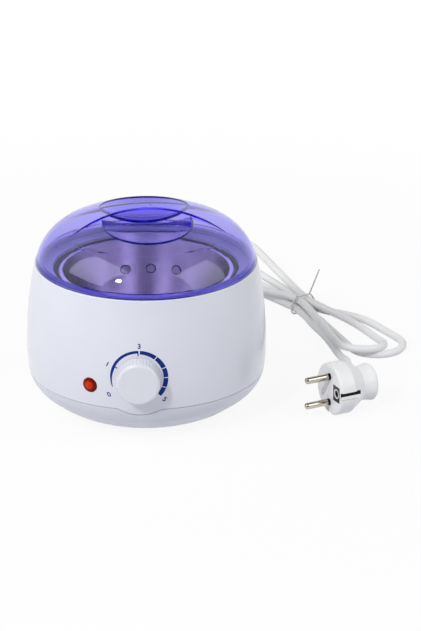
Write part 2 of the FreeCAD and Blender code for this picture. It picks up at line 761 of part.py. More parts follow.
def make_control_body():
    front = control_face()
    box = Part.makeBox(
        CONTROL_HEIGHT,
        CONTROL_WIDTH,
        CONTROL_DEPTH,
        Vector(-CONTROL_HEIGHT / 2.0, -CONTROL_WIDTH / 2.0, front - CONTROL_DEPTH),
    )
    corners = [
        edge
        for edge in box.Edges
        if edge.BoundBox.XLength < TINY and edge.BoundBox.YLength < TINY
    ]
    box = box.makeFillet(CONTROL_CORNER, corners)
    bush = disc(BUSH_RADIUS, front, BUSH_STAND_OUT)
    shoulder = disc(BUSH_RADIUS + COVER_WALL, front, -CASING_WALL - CONTROL_SHOULDER_GAP)
    bore = disc(SHAFT_RADIUS + SHAFT_RUNNING_GAP, front, FAR)
    body = fused([box, bush, shoulder]).cut(bore)
    tags = []
    for side in (-1.0, 1.0):
        tags.append(
            Part.makeBox(
                TERMINAL_WIDTH,
                TERMINAL_THICKNESS,
                TERMINAL_REACH,
                Vector(-CONTROL_HEIGHT / 2.0, side * TERMINAL_SPACING / 2.0, front - CONTROL_DEPTH),
            )
        )
    for tag in tags:
        tag.rotate(Vector(-CONTROL_HEIGHT / 2.0, 0, front - CONTROL_DEPTH), Vector(0, 1, 0), -90.0)
    return put(fused([body] + tags), KNOB_PLACE)


def make_control_nut():
    nut = hexagon(CONTROL_NUT_FLATS, SEAM_GAP, CONTROL_NUT_HEIGHT - SEAM_GAP)
    return put(nut.cut(disc(BUSH_RADIUS + STUD_CLEARANCE, 0, FAR)), KNOB_PLACE)


def make_indicator_lens():
    flange = disc(LENS_RADIUS, -LENS_FLANGE, 0.0)
    half = LENS_RADIUS
    bend = (half * half + LENS_DOME_RISE ** 2) / (2.0 * LENS_DOME_RISE)
    ball = Part.makeSphere(bend, Vector(0, 0, LENS_DOME_RISE - bend))
    dome = ball.common(disc(LENS_RADIUS, 0.0, LENS_DOME_RISE))
    barrel = disc(LENS_BARREL_RADIUS, -LENS_BARREL_LENGTH, -LENS_FLANGE)
    hollow = disc(LAMP_RADIUS + LAMP_CLEARANCE, -LENS_BARREL_LENGTH, -LENS_FLANGE)
    return put(fused([flange, dome, barrel]).cut(hollow), LENS_PLACE)


def make_indicator_lamp():
    tip = -LENS_FLANGE - LAMP_CLEARANCE
    tube = disc(LAMP_RADIUS, tip - LAMP_LENGTH, tip - LAMP_RADIUS)
    nose = Part.makeSphere(LAMP_RADIUS, Vector(0, 0, tip - LAMP_RADIUS))
    return put(fused([tube, nose]), LENS_PLACE)


def make_terminal_block():
    turn = math.radians(BLOCK_ANGLE)
    left = BLOCK_CIRCLE_RADIUS * math.cos(turn) - BLOCK_LENGTH / 2.0
    middle = BLOCK_CIRCLE_RADIUS * math.sin(turn)
    corner = Vector(left, middle - BLOCK_WIDTH / 2.0, COVER_FLOOR)
    block = Part.makeBox(BLOCK_LENGTH, BLOCK_WIDTH, BLOCK_HEIGHT, corner)
    top = COVER_FLOOR + BLOCK_HEIGHT
    pitch = BLOCK_LENGTH / BLOCK_WAYS
    for way in range(BLOCK_WAYS):
        spot = (left + pitch * (way + 0.5), middle)
        block = block.cut(disc(BLOCK_SCREW_RADIUS, top - BLOCK_SCREW_DEPTH, top, spot))
    return block


def dome_join():
    """Where the lid's shoulder arc runs into its crown arc: (join, shoulder middle, crown middle)."""
    lean = math.radians(LID_LEAN)
    start = place(LID_RADIUS, SHOULDER_HEIGHT)
    end = place(0, LID_CREST)
    way_in = Vector(-math.sin(lean), 0, math.cos(lean))
    way_out = Vector(-1, 0, 0)
    span = end - start
    mixed = way_in * LID_SHOULDER_SHARE + way_out
    square = mixed.dot(mixed) - (LID_SHOULDER_SHARE + 1.0) ** 2
    middle = -2.0 * span.dot(mixed)
    last = span.dot(span)
    root = math.sqrt(middle * middle - 4.0 * square * last)
    reach = min(x for x in ((-middle + root) / (2 * square), (-middle - root) / (2 * square)) if x > 0)
    first = start + way_in * (reach * LID_SHOULDER_SHARE)
    second = end - way_out * reach
    return first + (second - first) * (LID_SHOULDER_SHARE / (LID_SHOULDER_SHARE + 1.0))


def arc_centre(start, way, end):
    """The centre of the arc that leaves start along way and reaches end, in the XZ plane."""
    across = Vector(-way.z, 0, way.x)
    chord = end - start
    return start + across * (chord.dot(chord) / (2.0 * chord.dot(across)))


def dome(inset):
    """The lid's round form, filled, with its surface set in by inset."""
    lean = math.radians(LID_LEAN)
    start = place(LID_RADIUS, SHOULDER_HEIGHT)
    join = dome_join()
    shoulder_centre = arc_centre(start, Vector(-math.sin(lean), 0, math.cos(lean)), join)
    shoulder = (start - shoulder_centre).Length
    crown_line = join - shoulder_centre
    crown_centre = shoulder_centre + crown_line * (shoulder_centre.x / -crown_line.x)
    crown = (join - crown_centre).Length
    ring_part = shoulder - inset
    low = shoulder_centre.z
    base = SHOULDER_HEIGHT
    rim = shoulder_centre.x + math.sqrt(ring_part ** 2 - (base - low) ** 2)
    seam = shoulder_centre + (join - shoulder_centre).normalize() * ring_part
    top = place(0, crown_centre.z + crown - inset)
    centre = place(0, base)
    return turned(
        [
            line(centre, place(rim, base)),
            bowed(place(rim, base), seam, ring_part),
            bowed(seam, top, crown - inset),
            line(top, centre),
        ]
    )


def dome_height(radius):
    """The height of the lid's crown above the floor at a radius."""
    lean = math.radians(LID_LEAN)
    start = place(LID_RADIUS, SHOULDER_HEIGHT)
    join = dome_join()
    shoulder_centre = arc_centre(start, Vector(-math.sin(lean), 0, math.cos(lean)), join)
    crown_line = join - shoulder_centre
    crown_centre = shoulder_centre + crown_line * (shoulder_centre.x / -crown_line.x)
    crown = (join - crown_centre).Length
    return crown_centre.z + math.sqrt(crown ** 2 - radius ** 2)


def shelf_ball(inset):
    """The flatter ball whose surface is the shelves beside the grip."""
    crest = LID_CREST - SHELF_DROP
    drop = crest - dome_height(SHELF_REACH)
    bend = (SHELF_REACH ** 2 + drop ** 2) / (2.0 * drop)
    return Part.makeSphere(bend - inset, Vector(0, 0, crest - bend))


def bite(side, inset):
    """What is taken out of the dome on one side of the grip: a shelf with a finger pocket in it."""
    grip_centre = (0.0, side * (GRIP_HALF_THICKNESS + GRIP_CURVE))
    beside_grip = disc(GRIP_CURVE + inset, SHOULDER_HEIGHT, LID_CREST + LID_HEIGHT, grip_centre)
    shelf = beside_grip.cut(shelf_ball(inset))
    ball_centre = Vector(0, side * POCKET_PLACE, LID_CREST - POCKET_DEPTH + POCKET_BALL)
    pocket = Part.makeSphere(POCKET_BALL + inset, ball_centre).common(beside_grip)
    return shelf.fuse(pocket)


def make_lid():
    outside = dome(0.0)
    inside = dome(LID_WALL)
    for side in (-1.0, 1.0):
        outside = outside.cut(bite(side, 0.0))
        inside = inside.cut(bite(side, LID_WALL))
    lip_radius = RECESS_RADIUS - LID_LIP_CLEARANCE
    lip = ring(
        lip_radius,
        lip_radius - LID_LIP_WALL,
        SHOULDER_HEIGHT - LID_LIP_DEPTH,
        SHOULDER_HEIGHT + LID_LIP_ROOT,
    )
    root = ring(LID_RADIUS, lip_radius - LID_LIP_WALL, SHOULDER_HEIGHT, SHOULDER_HEIGHT + LID_LIP_ROOT)
    root = root.common(dome(0.0))
    wall = outside.cut(inside)
    lid = fused([wall, root, lip])
    lid.rotate(Vector(0, 0, 0), AXIS, LID_TURN)
    return lid


def make_strain_relief():
    flange_inside = -CASING_WALL - GLAND_CLEARANCE
    barrel = disc(GLAND_ROOT_RADIUS, -GLAND_INSIDE, 0.0)
    inner_stop = disc(GLAND_FLANGE_RADIUS, -GLAND_INSIDE, flange_inside - GLAND_FLANGE)
    sleeve = Part.makeCone(GLAND_ROOT_RADIUS, GLAND_TIP_RADIUS, GLAND_REACH)
    relief = fused([barrel, inner_stop, sleeve])
    pitch = (GLAND_REACH - GLAND_FLANGE) / GLAND_RING_COUNT
    for number in range(GLAND_RING_COUNT):
        low = GLAND_FLANGE + pitch * number
        share = low / GLAND_REACH
        radius = GLAND_ROOT_RADIUS + (GLAND_TIP_RADIUS - GLAND_ROOT_RADIUS) * share
        groove = ring(radius + GLAND_RING_DEPTH, radius - GLAND_RING_DEPTH, low, low + GLAND_RING_WIDTH)
        relief = relief.cut(groove)
    return put(relief, GLAND_PLACE)


def tube(path_edges, radius, name, length):
    """A round cord along tangent edges, with its volume set against its section times its length."""
    wire = Part.Wire(path_edges)
    start = path_edges[0]
    way = start.tangentAt(start.FirstParameter)
    spot = start.valueAt(start.FirstParameter)
    section = Part.Wire([Part.Circle(spot, way, radius).toShape()])
    sweep = Part.BRepOffsetAPI.MakePipeShell(wire)
    sweep.add(section)
    sweep.build()
    sweep.makeSolid()
    solid = sweep.shape()
    share = solid.Volume / (math.pi * radius * radius * length)
    print("%s: length %.0f mm, volume over section times length %.4f" % (name, length, share))
    return solid


def rounded_route(points, name):
    """Straight runs joined by tangent arcs, each as large as its two runs allow."""
    edges = []
    radii = []
    here = points[0]
    for before, corner, after in zip(points, points[1:], points[2:]):
        way_in = (corner - before).normalize()
        way_out = (after - corner).normalize()
        turn = way_in.getAngle(way_out)
        setback = BEND_SHARE * min((corner - before).Length, (after - corner).Length)
        radius = setback / math.tan(turn / 2.0)
        radii.append(radius)
        start = corner - way_in * setback
        end = corner + way_out * setback
        inward = (way_out - way_in).normalize()
        middle = corner + inward * (radius / math.cos(turn / 2.0) - radius)
        edges.append(line(here, start))
        edges.append(Part.Arc(start, middle, end).toShape())
        here = end
    edges.append(line(here, points[-1]))
    print("%s: radii %s" % (name, ", ".join("%.0f" % radius for radius in radii)))
    return edges


def arc_middle(start, way, end):
    """The middle of the arc that leaves start along way and reaches end, or None for a straight run."""
    chord = end - start
    across = chord - way * chord.dot(way)
    if across.Length < TINY:
        return None
    across.normalize()
    radius = chord.dot(chord) / (2.0 * chord.dot(across))
    centre = start + across * radius
    side = 1.0 if chord.dot(way) > 0 else -1.0
    return centre + ((start + end) * 0.5 - centre).normalize() * (side * radius)


def arc_or_line(start, middle, end):
    return line(start, end) if middle is None else Part.Arc(start, middle, end).toShape()


def biarc(start, way_in, end, way_out):
    """Two tangent arcs from one point and direction to another."""
    span = end - start
    both = span.dot(way_in + way_out)
    spread = 2.0 * (1.0 - way_in.dot(way_out))
    if spread < TINY:
        reach = span.dot(span) / (4.0 * span.dot(way_out))
    else:
        reach = (-both + math.sqrt(both * both + spread * span.dot(span))) / spread
    joint = (start + end + (way_in - way_out) * reach) * 0.5
    first = arc_or_line(start, arc_middle(start, way_in, joint), joint)
    second = arc_or_line(joint, arc_middle(end, way_out * -1.0, joint), end)
    return [first, second]


def level_way(angle):
    turn = math.radians(angle)
    return Vector(math.cos(turn), math.sin(turn), 0)


def waist_floor():
    """The height of the lower strands' centres at the tie, above the wire under them."""
    return TIE_WIRE + TIE_GAP + CORD_RADIUS


def waist_spot(slot):
    """A strand's place at the tie: slots -1, 0 and 1 lie below, and the halves rest between them."""
    along = level_way(WAIST_ANGLE + 90.0)
    upper = 1.0 if slot != int(slot) else 0.0
    height = waist_floor() + upper * WAIST_PITCH * math.sqrt(3.0) / 2.0
    return Vector(TIE_X, TIE_Y, height) + along * (slot * WAIST_PITCH)


def hank_nodes():
    """Places and directions that the hank passes, in order: the tie, out, round a lobe's end, and back."""
    floor = CORD_RADIUS + CORD_LIFT
    along = level_way(WAIST_ANGLE)
    nodes = [(Vector(*HANK_START), level_way(HANK_START_ANGLE))]
    for number, angle in enumerate(LOBE_ANGLES):
        way = along if number % 2 == 0 else along * -1.0
        nodes.append((waist_spot(WAIST_SLOTS[number]), way))
        radius = LOBE_RADII[number]
        reach = LOBE_REACHES[number]
        opening = 180.0 - math.degrees(math.acos(radius / reach))
        tie = Vector(TIE_X, TIE_Y, floor)
        centre = tie + level_way(angle) * reach
        shoulder = LOBE_SHOULDERS[number]
        turns = (-opening, 0.0, 90.0 if shoulder else opening)
        rises = (LOBE_OUT_RISE[number], LOBE_TIP_RISE[number], LOBE_BACK_RISE[number])
        for turn, rise in zip(turns, rises):
            spot = centre + level_way(angle + turn) * radius + Vector(0, 0, rise)
            nodes.append((spot, level_way(angle + turn + 90.0)))
        if shoulder:
            bowed = level_way(angle) * shoulder + level_way(angle + 90.0) * (radius + LOBE_BOWS[number])
            spot = tie + bowed + Vector(0, 0, rises[-1])
            nodes.append((spot, level_way(angle + 180.0 + LOBE_BOW_TURN)))
    nodes.append((waist_spot(WAIST_SLOTS[-1]), along))
    nodes.append((Vector(*HANK_END), level_way(HANK_END_ANGLE)))
    return nodes


def hank_edges():
    nodes = hank_nodes()
    edges = []
    for (start, way_in), (end, way_out) in zip(nodes, nodes[1:]):
        edges.extend(biarc(start, way_in, end, way_out))
    first, first_way = nodes[0]
    last, last_way = nodes[-1]
    lead = line(first - first_way * CORD_DIAMETER, first)
    trail = line(last, last + last_way * CORD_DIAMETER)
    return [lead] + edges + [trail]


def route_points(edges, step):
    """Points along a route, about step apart, each with its distance from the start."""
    points = []
    done = 0.0
    for edge in edges:
        count = max(2, int(math.ceil(edge.Length / step)))
        for number in range(count):
            share = number / float(count)
            parameter = edge.FirstParameter + (edge.LastParameter - edge.FirstParameter) * share
            points.append((done + edge.Length * share, edge.valueAt(parameter)))
        done += edge.Length
    return points


def print_own_gap(points, name):
    """The least gap between a cord's stretches, leaving out what lies next along it."""
    least = FAR
    where = None
    for number, (along, spot) in enumerate(points):
        for other_along, other in points[number + 1:]:
            if other_along - along < GAP_SKIP:
                continue
            gap = spot.distanceToPoint(other) - CORD_DIAMETER
            if gap < least:
                least = gap
                where = (spot, other)
    print("%s: least gap to itself %.2f mm, between %s and %s" % (name, least, where[0], where[1]))


def make_cord_hank():
    edges = hank_edges()
    points = route_points(edges, GAP_STEP)
    print_own_gap(points, "cord_hank")
    curved = [edge.Curve.Radius for edge in edges if hasattr(edge.Curve, "Radius")]
    print("cord_hank: least radius %.1f mm" % min(curved))
    return tube(edges, CORD_RADIUS, "cord_hank", sum(edge.Length for edge in edges))


def free_stretch(start, way_in, between, end, way_out, name):
    """A free stretch of cord that leaves start and reaches end along straight runs."""
    leaving = start + way_in * STRAIGHT_RUN
    arriving = end - way_out * STRAIGHT_RUN
    points = [start, leaving] + [Vector(*point) for point in between] + [arriving, end]
    route = rounded_route(points, name)
    return tube(route, CORD_RADIUS, name, sum(edge.Length for edge in route))


def make_cord_feed():
    lead = hank_edges()[0]
    end = lead.valueAt(lead.FirstParameter)
    start = GLAND_PLACE.multVec(Vector(0, 0, GLAND_REACH))
    outward = GLAND_PLACE.Rotation.multVec(AXIS)
    return free_stretch(start, outward, FEED_POINTS, end, level_way(HANK_START_ANGLE), "cord_feed")


def plug_place():
    return FreeCAD.Placement(
        Vector(PLUG_X, PLUG_Y, PLUG_RADIUS), FreeCAD.Rotation(AXIS, PLUG_ANGLE)
    )


def neck_way():
    slant = math.radians(PLUG_NECK_SLANT)
    return Vector(math.cos(slant), math.sin(slant), 0)


def neck_tip():
    local = Vector(PLUG_NECK_START, 0, 0) + neck_way() * PLUG_NECK_LENGTH
    return plug_place().multVec(local)


def make_cord_tail():
    trail = hank_edges()[-1]
    start = trail.valueAt(trail.LastParameter)
    into_plug = plug_place().Rotation.multVec(neck_way()) * -1.0
    return free_stretch(start, level_way(HANK_END_ANGLE), TAIL_POINTS, neck_tip(), into_plug, "cord_tail")


def make_cord_tie():
    """A wire loop round the strands, with its twisted end standing up."""
    wire = TIE_WIRE / 2.0
    wide = WAIST_PITCH + CORD_RADIUS + TIE_GAP + wire
    low = wire
    high = waist_floor() + WAIST_PITCH * math.sqrt(3.0) / 2.0 + CORD_RADIUS + TIE_GAP + wire
    across = level_way(WAIST_ANGLE + 90.0)
    centre = Vector(TIE_X, TIE_Y, 0)
    top_half = WAIST_PITCH / 2.0 + CORD_RADIUS
    shoulder = waist_floor() + CORD_RADIUS

    def spot(side, height):
        return centre + across * side + Vector(0, 0, height)

    corners = [
        spot(0.0, low),
        spot(wide, low),
        spot(wide, shoulder),
        spot(top_half, high),
        spot(-top_half, high),
        spot(-wide, shoulder),
        spot(-wide, low),
        spot(-TIE_END_GAP, low),
    ]
    edges = []
    here = corners[0]
    bend = CORD_RADIUS
    for before, corner, after in zip(corners, corners[1:], corners[2:]):
        way_in = (corner - before).normalize()
        way_out = (after - corner).normalize()
        turn = way_in.getAngle(way_out)
        setback = bend * math.tan(turn / 2.0)
        start = corner - way_in * setback
        end = corner + way_out * setback
        inward = (way_out - way_in).normalize()
        middle = corner + inward * (bend / math.cos(turn / 2.0) - bend)
        edges.append(line(here, start))
        edges.append(Part.Arc(start, middle, end).toShape())
        here = end
    edges.append(line(here, corners[-1]))
    loop = tube(edges, wire, "cord_tie", sum(edge.Length for edge in edges))
    lean = math.radians(TIE_TAIL_LEAN)
    up = across * math.sin(lean) + Vector(0, 0, math.cos(lean))
    stem = Part.makeCylinder(wire, TIE_TAIL, spot(TIE_TAIL_PLACE, high), up)
    return fused([loop, stem])


def make_plug_body():
    collar = bow_profile()
    neck = Part.makeCone(
        PLUG_NECK_ROOT_RADIUS,
        PLUG_NECK_TIP_RADIUS,
        PLUG_NECK_LENGTH,
        Vector(PLUG_NECK_START, 0, 0),
        neck_way(),
    )
    body = fused([collar, neck])
    for side in (-1.0, 1.0):
        channel = Part.makeBox(
            PLUG_LENGTH / 2.0,
            EARTH_CHANNEL_DEPTH,
            EARTH_CHANNEL_WIDTH,
            Vector(0, -EARTH_CHANNEL_DEPTH / 2.0, -EARTH_CHANNEL_WIDTH / 2.0),
        )
        channel.translate(Vector(0, side * (PLUG_RADIUS - EARTH_CHANNEL_DEPTH / 2.0), 0))
        body = body.cut(channel)
        guide = Part.makeBox(
            GUIDE_LENGTH,
            GUIDE_WIDTH,
            GUIDE_DEPTH,
            Vector(0, -GUIDE_WIDTH / 2.0, side * (PLUG_RADIUS - GUIDE_DEPTH / 2.0) - GUIDE_DEPTH / 2.0),
        )
        body = body.cut(guide)
    socket_spot = Vector(0, -EARTH_SOCKET_PLACE, 0)
    body = body.cut(Part.makeCylinder(EARTH_SOCKET_RADIUS, EARTH_SOCKET_DEPTH, socket_spot, Vector(1, 0, 0)))
    for height in pin_heights():
        hole = Part.makeCylinder(PIN_RADIUS + PIN_CLEARANCE, PIN_ROOT, Vector(0, 0, height), Vector(1, 0, 0))
        body = body.cut(hole)
    return put(body, plug_place())


def pin_heights():
    return (-PIN_SPACING / 2.0, PIN_SPACING / 2.0)


def bow_profile():
    """The plug's turned form about its own axis, laid along X: collar, drawn-in waist and flared end."""
    face = place(PLUG_RADIUS, 0)
    collar = place(PLUG_RADIUS, PLUG_COLLAR)
    waist = place(PLUG_WAIST_RADIUS, PLUG_WAIST_PLACE)
    end = place(PLUG_END_RADIUS, PLUG_LENGTH)
    front_centre = place(0, 0)
    back_centre = place(0, PLUG_LENGTH)
    dip = (waist + end) * 0.5 - place(PLUG_WAIST_DIP, 0)
    form = turned(
        [
            line(front_centre, face),
            line(face, collar),
            line(collar, waist),
            Part.Arc(waist, dip, end).toShape(),
            line(end, back_centre),
            line(back_centre, front_centre),
        ]
    )
    circles = [edge for edge in form.Edges if edge.BoundBox.XLength > 1.0 and edge.BoundBox.ZLength < TINY]
    rims = [edge for edge in circles if abs(edge.BoundBox.ZMin - PLUG_WAIST_PLACE) > TINY]
    form = form.makeFillet(PLUG_EDGE_ROUND, rims)
    form.rotate(Vector(0, 0, 0), Vector(0, 1, 0), 90.0)
    return form


def make_plug_pins():
    pins = []
    for height in pin_heights():
        tip = Vector(-PIN_LENGTH, 0, height)
        pin = Part.makeCylinder(PIN_RADIUS, PIN_LENGTH + PIN_ROOT, tip, Vector(1, 0, 0))
        tips = [edge for edge in pin.Edges if edge.BoundBox.XMax < -PIN_LENGTH + TINY]
        pins.append(put(pin.makeFillet(PIN_TIP_ROUND, tips), plug_place()))
    return group(pins)


def make_plug_earth_contacts():
    contacts = []
    bottom = PLUG_RADIUS - EARTH_CHANNEL_DEPTH
    for side in (-1.0, 1.0):
        strip = Part.makeBox(
            PLUG_LENGTH / 2.0 - EARTH_THICKNESS,
            EARTH_THICKNESS,
            EARTH_WIDTH,
            Vector(0, -EARTH_THICKNESS / 2.0, -EARTH_WIDTH / 2.0),
        )
        strip.translate(Vector(0, side * (bottom + EARTH_THICKNESS / 2.0), 0))
        contacts.append(put(strip, plug_place()))
    return group(contacts)


MAKERS = {
    "bottom_cover": make_bottom_cover,
    "feet": make_feet,
    "cover_screws": make_cover_screws,
    "casing": make_casing,
    "heated_well": make_heated_well,
    "well_gasket": make_well_gasket,
    "well_screws": make_well_screws,
    "heater_ring": make_heater_ring,
    "heater_clamp": make_heater_clamp,
    "heater_stud": make_heater_stud,
    "heater_nut": make_heater_nut,
    "control_body": make_control_body,
    "control_nut": make_control_nut,
    "control_shaft": make_control_shaft,
    "knob": make_knob,
    "indicator_lens": make_indicator_lens,
    "indicator_lamp": make_indicator_lamp,
    "terminal_block": make_terminal_block,
    "strain_relief": make_strain_relief,
    "pot": make_pot,
    "pot_rivets": make_pot_rivets,
    "lid": make_lid,
    "cord_feed": make_cord_feed,
    "cord_hank": make_cord_hank,
    "cord_tail": make_cord_tail,
    "cord_tie": make_cord_tie,
    "plug_body": make_plug_body,
    "plug_pins": make_plug_pins,
    "plug_earth_contacts": make_plug_earth_contacts,
}

os.makedirs("parts", exist_ok=True)
for node, maker in MAKERS.items():
    shape = maker()
    print("%s: %d solid(s), valid %s, %.0f mm3" % (node, len(shape.Solids), shape.isValid(), shape.Volume))
    shape.exportStep("parts/%s.step" % node)
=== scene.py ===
# %% [markdown]
# # A wax warmer, dressed for its portrait
# The imported model brings every rigid piece at its real size and place, in metres. Nothing is fitted
# here: the lesson only adds what a camera needs, which is finishes, the printed dial, the cord, light
# and a lens.

# %% Open the imported model
import math

import bmesh
import bpy
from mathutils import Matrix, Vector


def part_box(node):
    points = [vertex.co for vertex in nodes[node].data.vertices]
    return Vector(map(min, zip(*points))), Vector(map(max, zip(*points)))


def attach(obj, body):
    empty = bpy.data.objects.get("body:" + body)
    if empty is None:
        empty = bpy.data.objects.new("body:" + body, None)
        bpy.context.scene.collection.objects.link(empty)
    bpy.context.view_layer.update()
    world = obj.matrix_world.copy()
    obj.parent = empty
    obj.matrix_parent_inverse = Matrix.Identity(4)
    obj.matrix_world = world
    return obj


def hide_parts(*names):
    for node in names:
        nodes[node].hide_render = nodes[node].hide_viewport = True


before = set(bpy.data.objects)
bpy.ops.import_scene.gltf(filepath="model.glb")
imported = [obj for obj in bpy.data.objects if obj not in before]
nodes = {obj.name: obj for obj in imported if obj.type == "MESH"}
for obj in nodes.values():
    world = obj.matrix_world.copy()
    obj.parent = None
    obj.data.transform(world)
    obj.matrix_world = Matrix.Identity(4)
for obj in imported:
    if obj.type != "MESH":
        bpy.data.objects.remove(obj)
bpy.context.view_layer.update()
scene = bpy.context.scene

# %% [markdown]
# ## The camera
# The picture was taken from a little above and a touch to the right of the knob, with a long lens that
# keeps the round body from bulging. A camera could be tracked to an empty, but four plain values say
# the same: the turn, the height, the distance and the point that it looks at.

# %% Camera
VIEW_TURN = math.radians(2.55)
VIEW_RISE = math.radians(22.0)
VIEW_DISTANCE = 2.4
AIM_RIGHT = 0.0445
AIM_HEIGHT = 0.063
LENS_MM = 197.0
SENSOR_MM = 36.0

rightward = Vector((math.cos(VIEW_TURN), math.sin(VIEW_TURN), 0.0))
inward = Vector((-math.sin(VIEW_TURN), math.cos(VIEW_TURN), 0.0))
upward = Vector((0.0, 0.0, 1.0))
sight = inward * math.cos(VIEW_RISE) - upward * math.sin(VIEW_RISE)

camera_data = bpy.data.cameras.new("portrait_camera")
camera_data.sensor_fit = "VERTICAL"
camera_data.sensor_height = SENSOR_MM
camera_data.lens = LENS_MM
camera = bpy.data.objects.new("portrait_camera", camera_data)
camera.location = rightward * AIM_RIGHT + upward * AIM_HEIGHT - sight * VIEW_DISTANCE
camera.rotation_euler = sight.to_track_quat("-Z", "Y").to_euler()
scene.collection.objects.link(camera)
scene.camera = camera
print("camera at", [round(x, 3) for x in camera.location])

# %% [markdown]
# ## The cord
# The mains lead leaves a sleeve at the back, drops to the table and is folded into a tied hank: two
# loops to the right of the tie and two to the left. The strands cross the tie five times. Three lie
# below and two rest in the hollows between them, which is how a bundle settles when a wire is drawn
# round it.

# %% Strands at the tie
CORD_DIAMETER = 0.0055
TIE_PLACE = Vector((0.1065, 0.167, 0.0))
TIE_ANGLE = -58.5
TIE_HALF_RUN = 0.010
STRAND_PITCH = 0.0065
LOWER_STRANDS = 0.0044
UPPER_STRANDS = LOWER_STRANDS + STRAND_PITCH * math.sqrt(3.0) / 2.0
QUARTER_TURN = 90.0
HALF_TURN = 180.0

# Each pass is a strand's slot across the tie, and 1 or -1 for the way that the cord runs through it.
# Whole slots hold the lower strands, and half slots are the hollows above them.
PASSES = ((-0.5, 1), (0.5, -1), (0, 1), (1, -1), (-1, 1))


def level(angle):
    """A direction along the floor, from its angle in degrees."""
    turn = math.radians(angle)
    return Vector((math.cos(turn), math.sin(turn), 0.0))


def tie_pair(slot, heading):
    """Two points of a strand on either side of the tie, in the order that the cord passes them."""
    height = LOWER_STRANDS if slot == int(slot) else UPPER_STRANDS
    sideways = level(TIE_ANGLE + QUARTER_TURN) * (slot * STRAND_PITCH)
    spot = TIE_PLACE + sideways + upward * height
    step = level(TIE_ANGLE) * (heading * TIE_HALF_RUN)
    return [spot - step, spot + step]


pairs = [tie_pair(slot, heading) for slot, heading in PASSES]
print("the cord passes the tie", len(pairs), "times")

# %% [markdown]
# One smooth spline through a few control points behaves like a real lead, because it can't kink. Each
# loop needs only four points outside its bend and one on each run into it. The loops on the right come
# back in a bow, which takes one point more. The loops that pass over others carry a rise of a little
# more than one cord's thickness.

# %% One loop
FLOOR_CENTRE = 0.00285
LOOP_BENDS = 4
BEND_SHARES = (0.25, 0.75)


def loop(angle, reach, radius, rises, bow, entry, leave):
    """One loop of the hank: a point on the run in, the points outside the bend, and the run out."""
    out, tip, back = rises
    # A straight run from the tie meets the bend this many degrees round from the loop's tip.
    opening = HALF_TURN - math.degrees(math.acos(radius / reach))
    closing = opening
    run_out = []
    if bow:
        place, width = bow
        leave = TIE_PLACE + level(angle) * place + level(angle + QUARTER_TURN) * width
        leave.z = FLOOR_CENTRE + back
        closing = QUARTER_TURN
        run_out = [leave]
    # The points are corners of a polygon that the bend just fits into.
    turn = (opening + closing) / LOOP_BENDS
    corner = radius / math.cos(math.radians(turn / 2.0))
    spacing = 2.0 * radius * math.tan(math.radians(turn / 2.0))
    slopes = ((out, tip), (tip, back))
    heights = [start + (end - start) * share for start, end in slopes for share in BEND_SHARES]
    centre = TIE_PLACE + level(angle) * reach
    bend = []
    for number, rise in enumerate(heights):
        way = angle - opening + turn * (number + 0.5)
        bend.append(centre + level(way) * corner + upward * (FLOOR_CENTRE + rise))
    first = bend[0] + (entry - bend[0]).normalized() * spacing
    last = bend[-1] + (leave - bend[-1]).normalized() * spacing
    first.z = FLOOR_CENTRE + out
    last.z = FLOOR_CENTRE + back
    return [first] + bend + [last] + run_out


# %% [markdown]
# Four loops make the hank. Each starts where a strand leaves the tie and ends where the next one enters
# it, so passes and loops take turns along the cord.

# %% Hank
# Each loop is an angle, the reach and radius of its bend, its rises on the way out, at the tip and on
# the way back, and for a bow its place along the loop and its width.
LOOPS = (
    (-60.5, 0.0855, 0.0175, (0.0069, 0.0067, 0.0016), (0.046, 0.019)),
    (119.5, 0.114, 0.017, (0.0084, 0.0068, 0.002), None),
    (-51.0, 0.0855, 0.0195, (0.0, 0.0, 0.0), (0.038, 0.0245)),
    (127.0, 0.140, 0.019, (0.0, 0.0, 0.0), None),
)

hank = []
for number, shape in enumerate(LOOPS):
    hank += pairs[number]
    hank += loop(*shape, pairs[number][-1], pairs[number + 1][0])
hank += pairs[-1]
print("hank of", len(LOOPS), "loops from", len(hank), "points")

# %% [markdown]
# Before the hank the lead falls from its sleeve to the floor, and after it the lead climbs into the
# plug. The bevel is a unit circle and each point's radius scales it down to the lead, so that the
# curve's box comes out at the lead's own thickness.

# %% Cord
CORD_ROUNDNESS = 5
CORD_STEPS = 6
SPLINE_ORDER = 3
FEED = (
    (0.0, 0.0962, 0.040), (0.0, 0.1107, 0.040), (0.0016, 0.127, 0.0334), (0.0048, 0.143, 0.0225),
    (0.0104, 0.1585, 0.0126), (0.021, 0.176, 0.0046), (0.0294, 0.187, 0.0032), (0.0412, 0.1926, 0.0044),
    (0.0544, 0.1929, 0.0077), (0.0667, 0.188, 0.011), (0.084, 0.178, 0.0111),
)
TAIL = (
    (0.114, 0.136, 0.00285), (0.1221, 0.1177, 0.00285), (0.127, 0.1035, 0.00285),
    (0.1314, 0.0875, 0.003), (0.135, 0.0705, 0.0052), (0.138, 0.051, 0.0112),
    (0.14003, 0.03152, 0.0185), (0.14092, 0.01705, 0.0185),
)

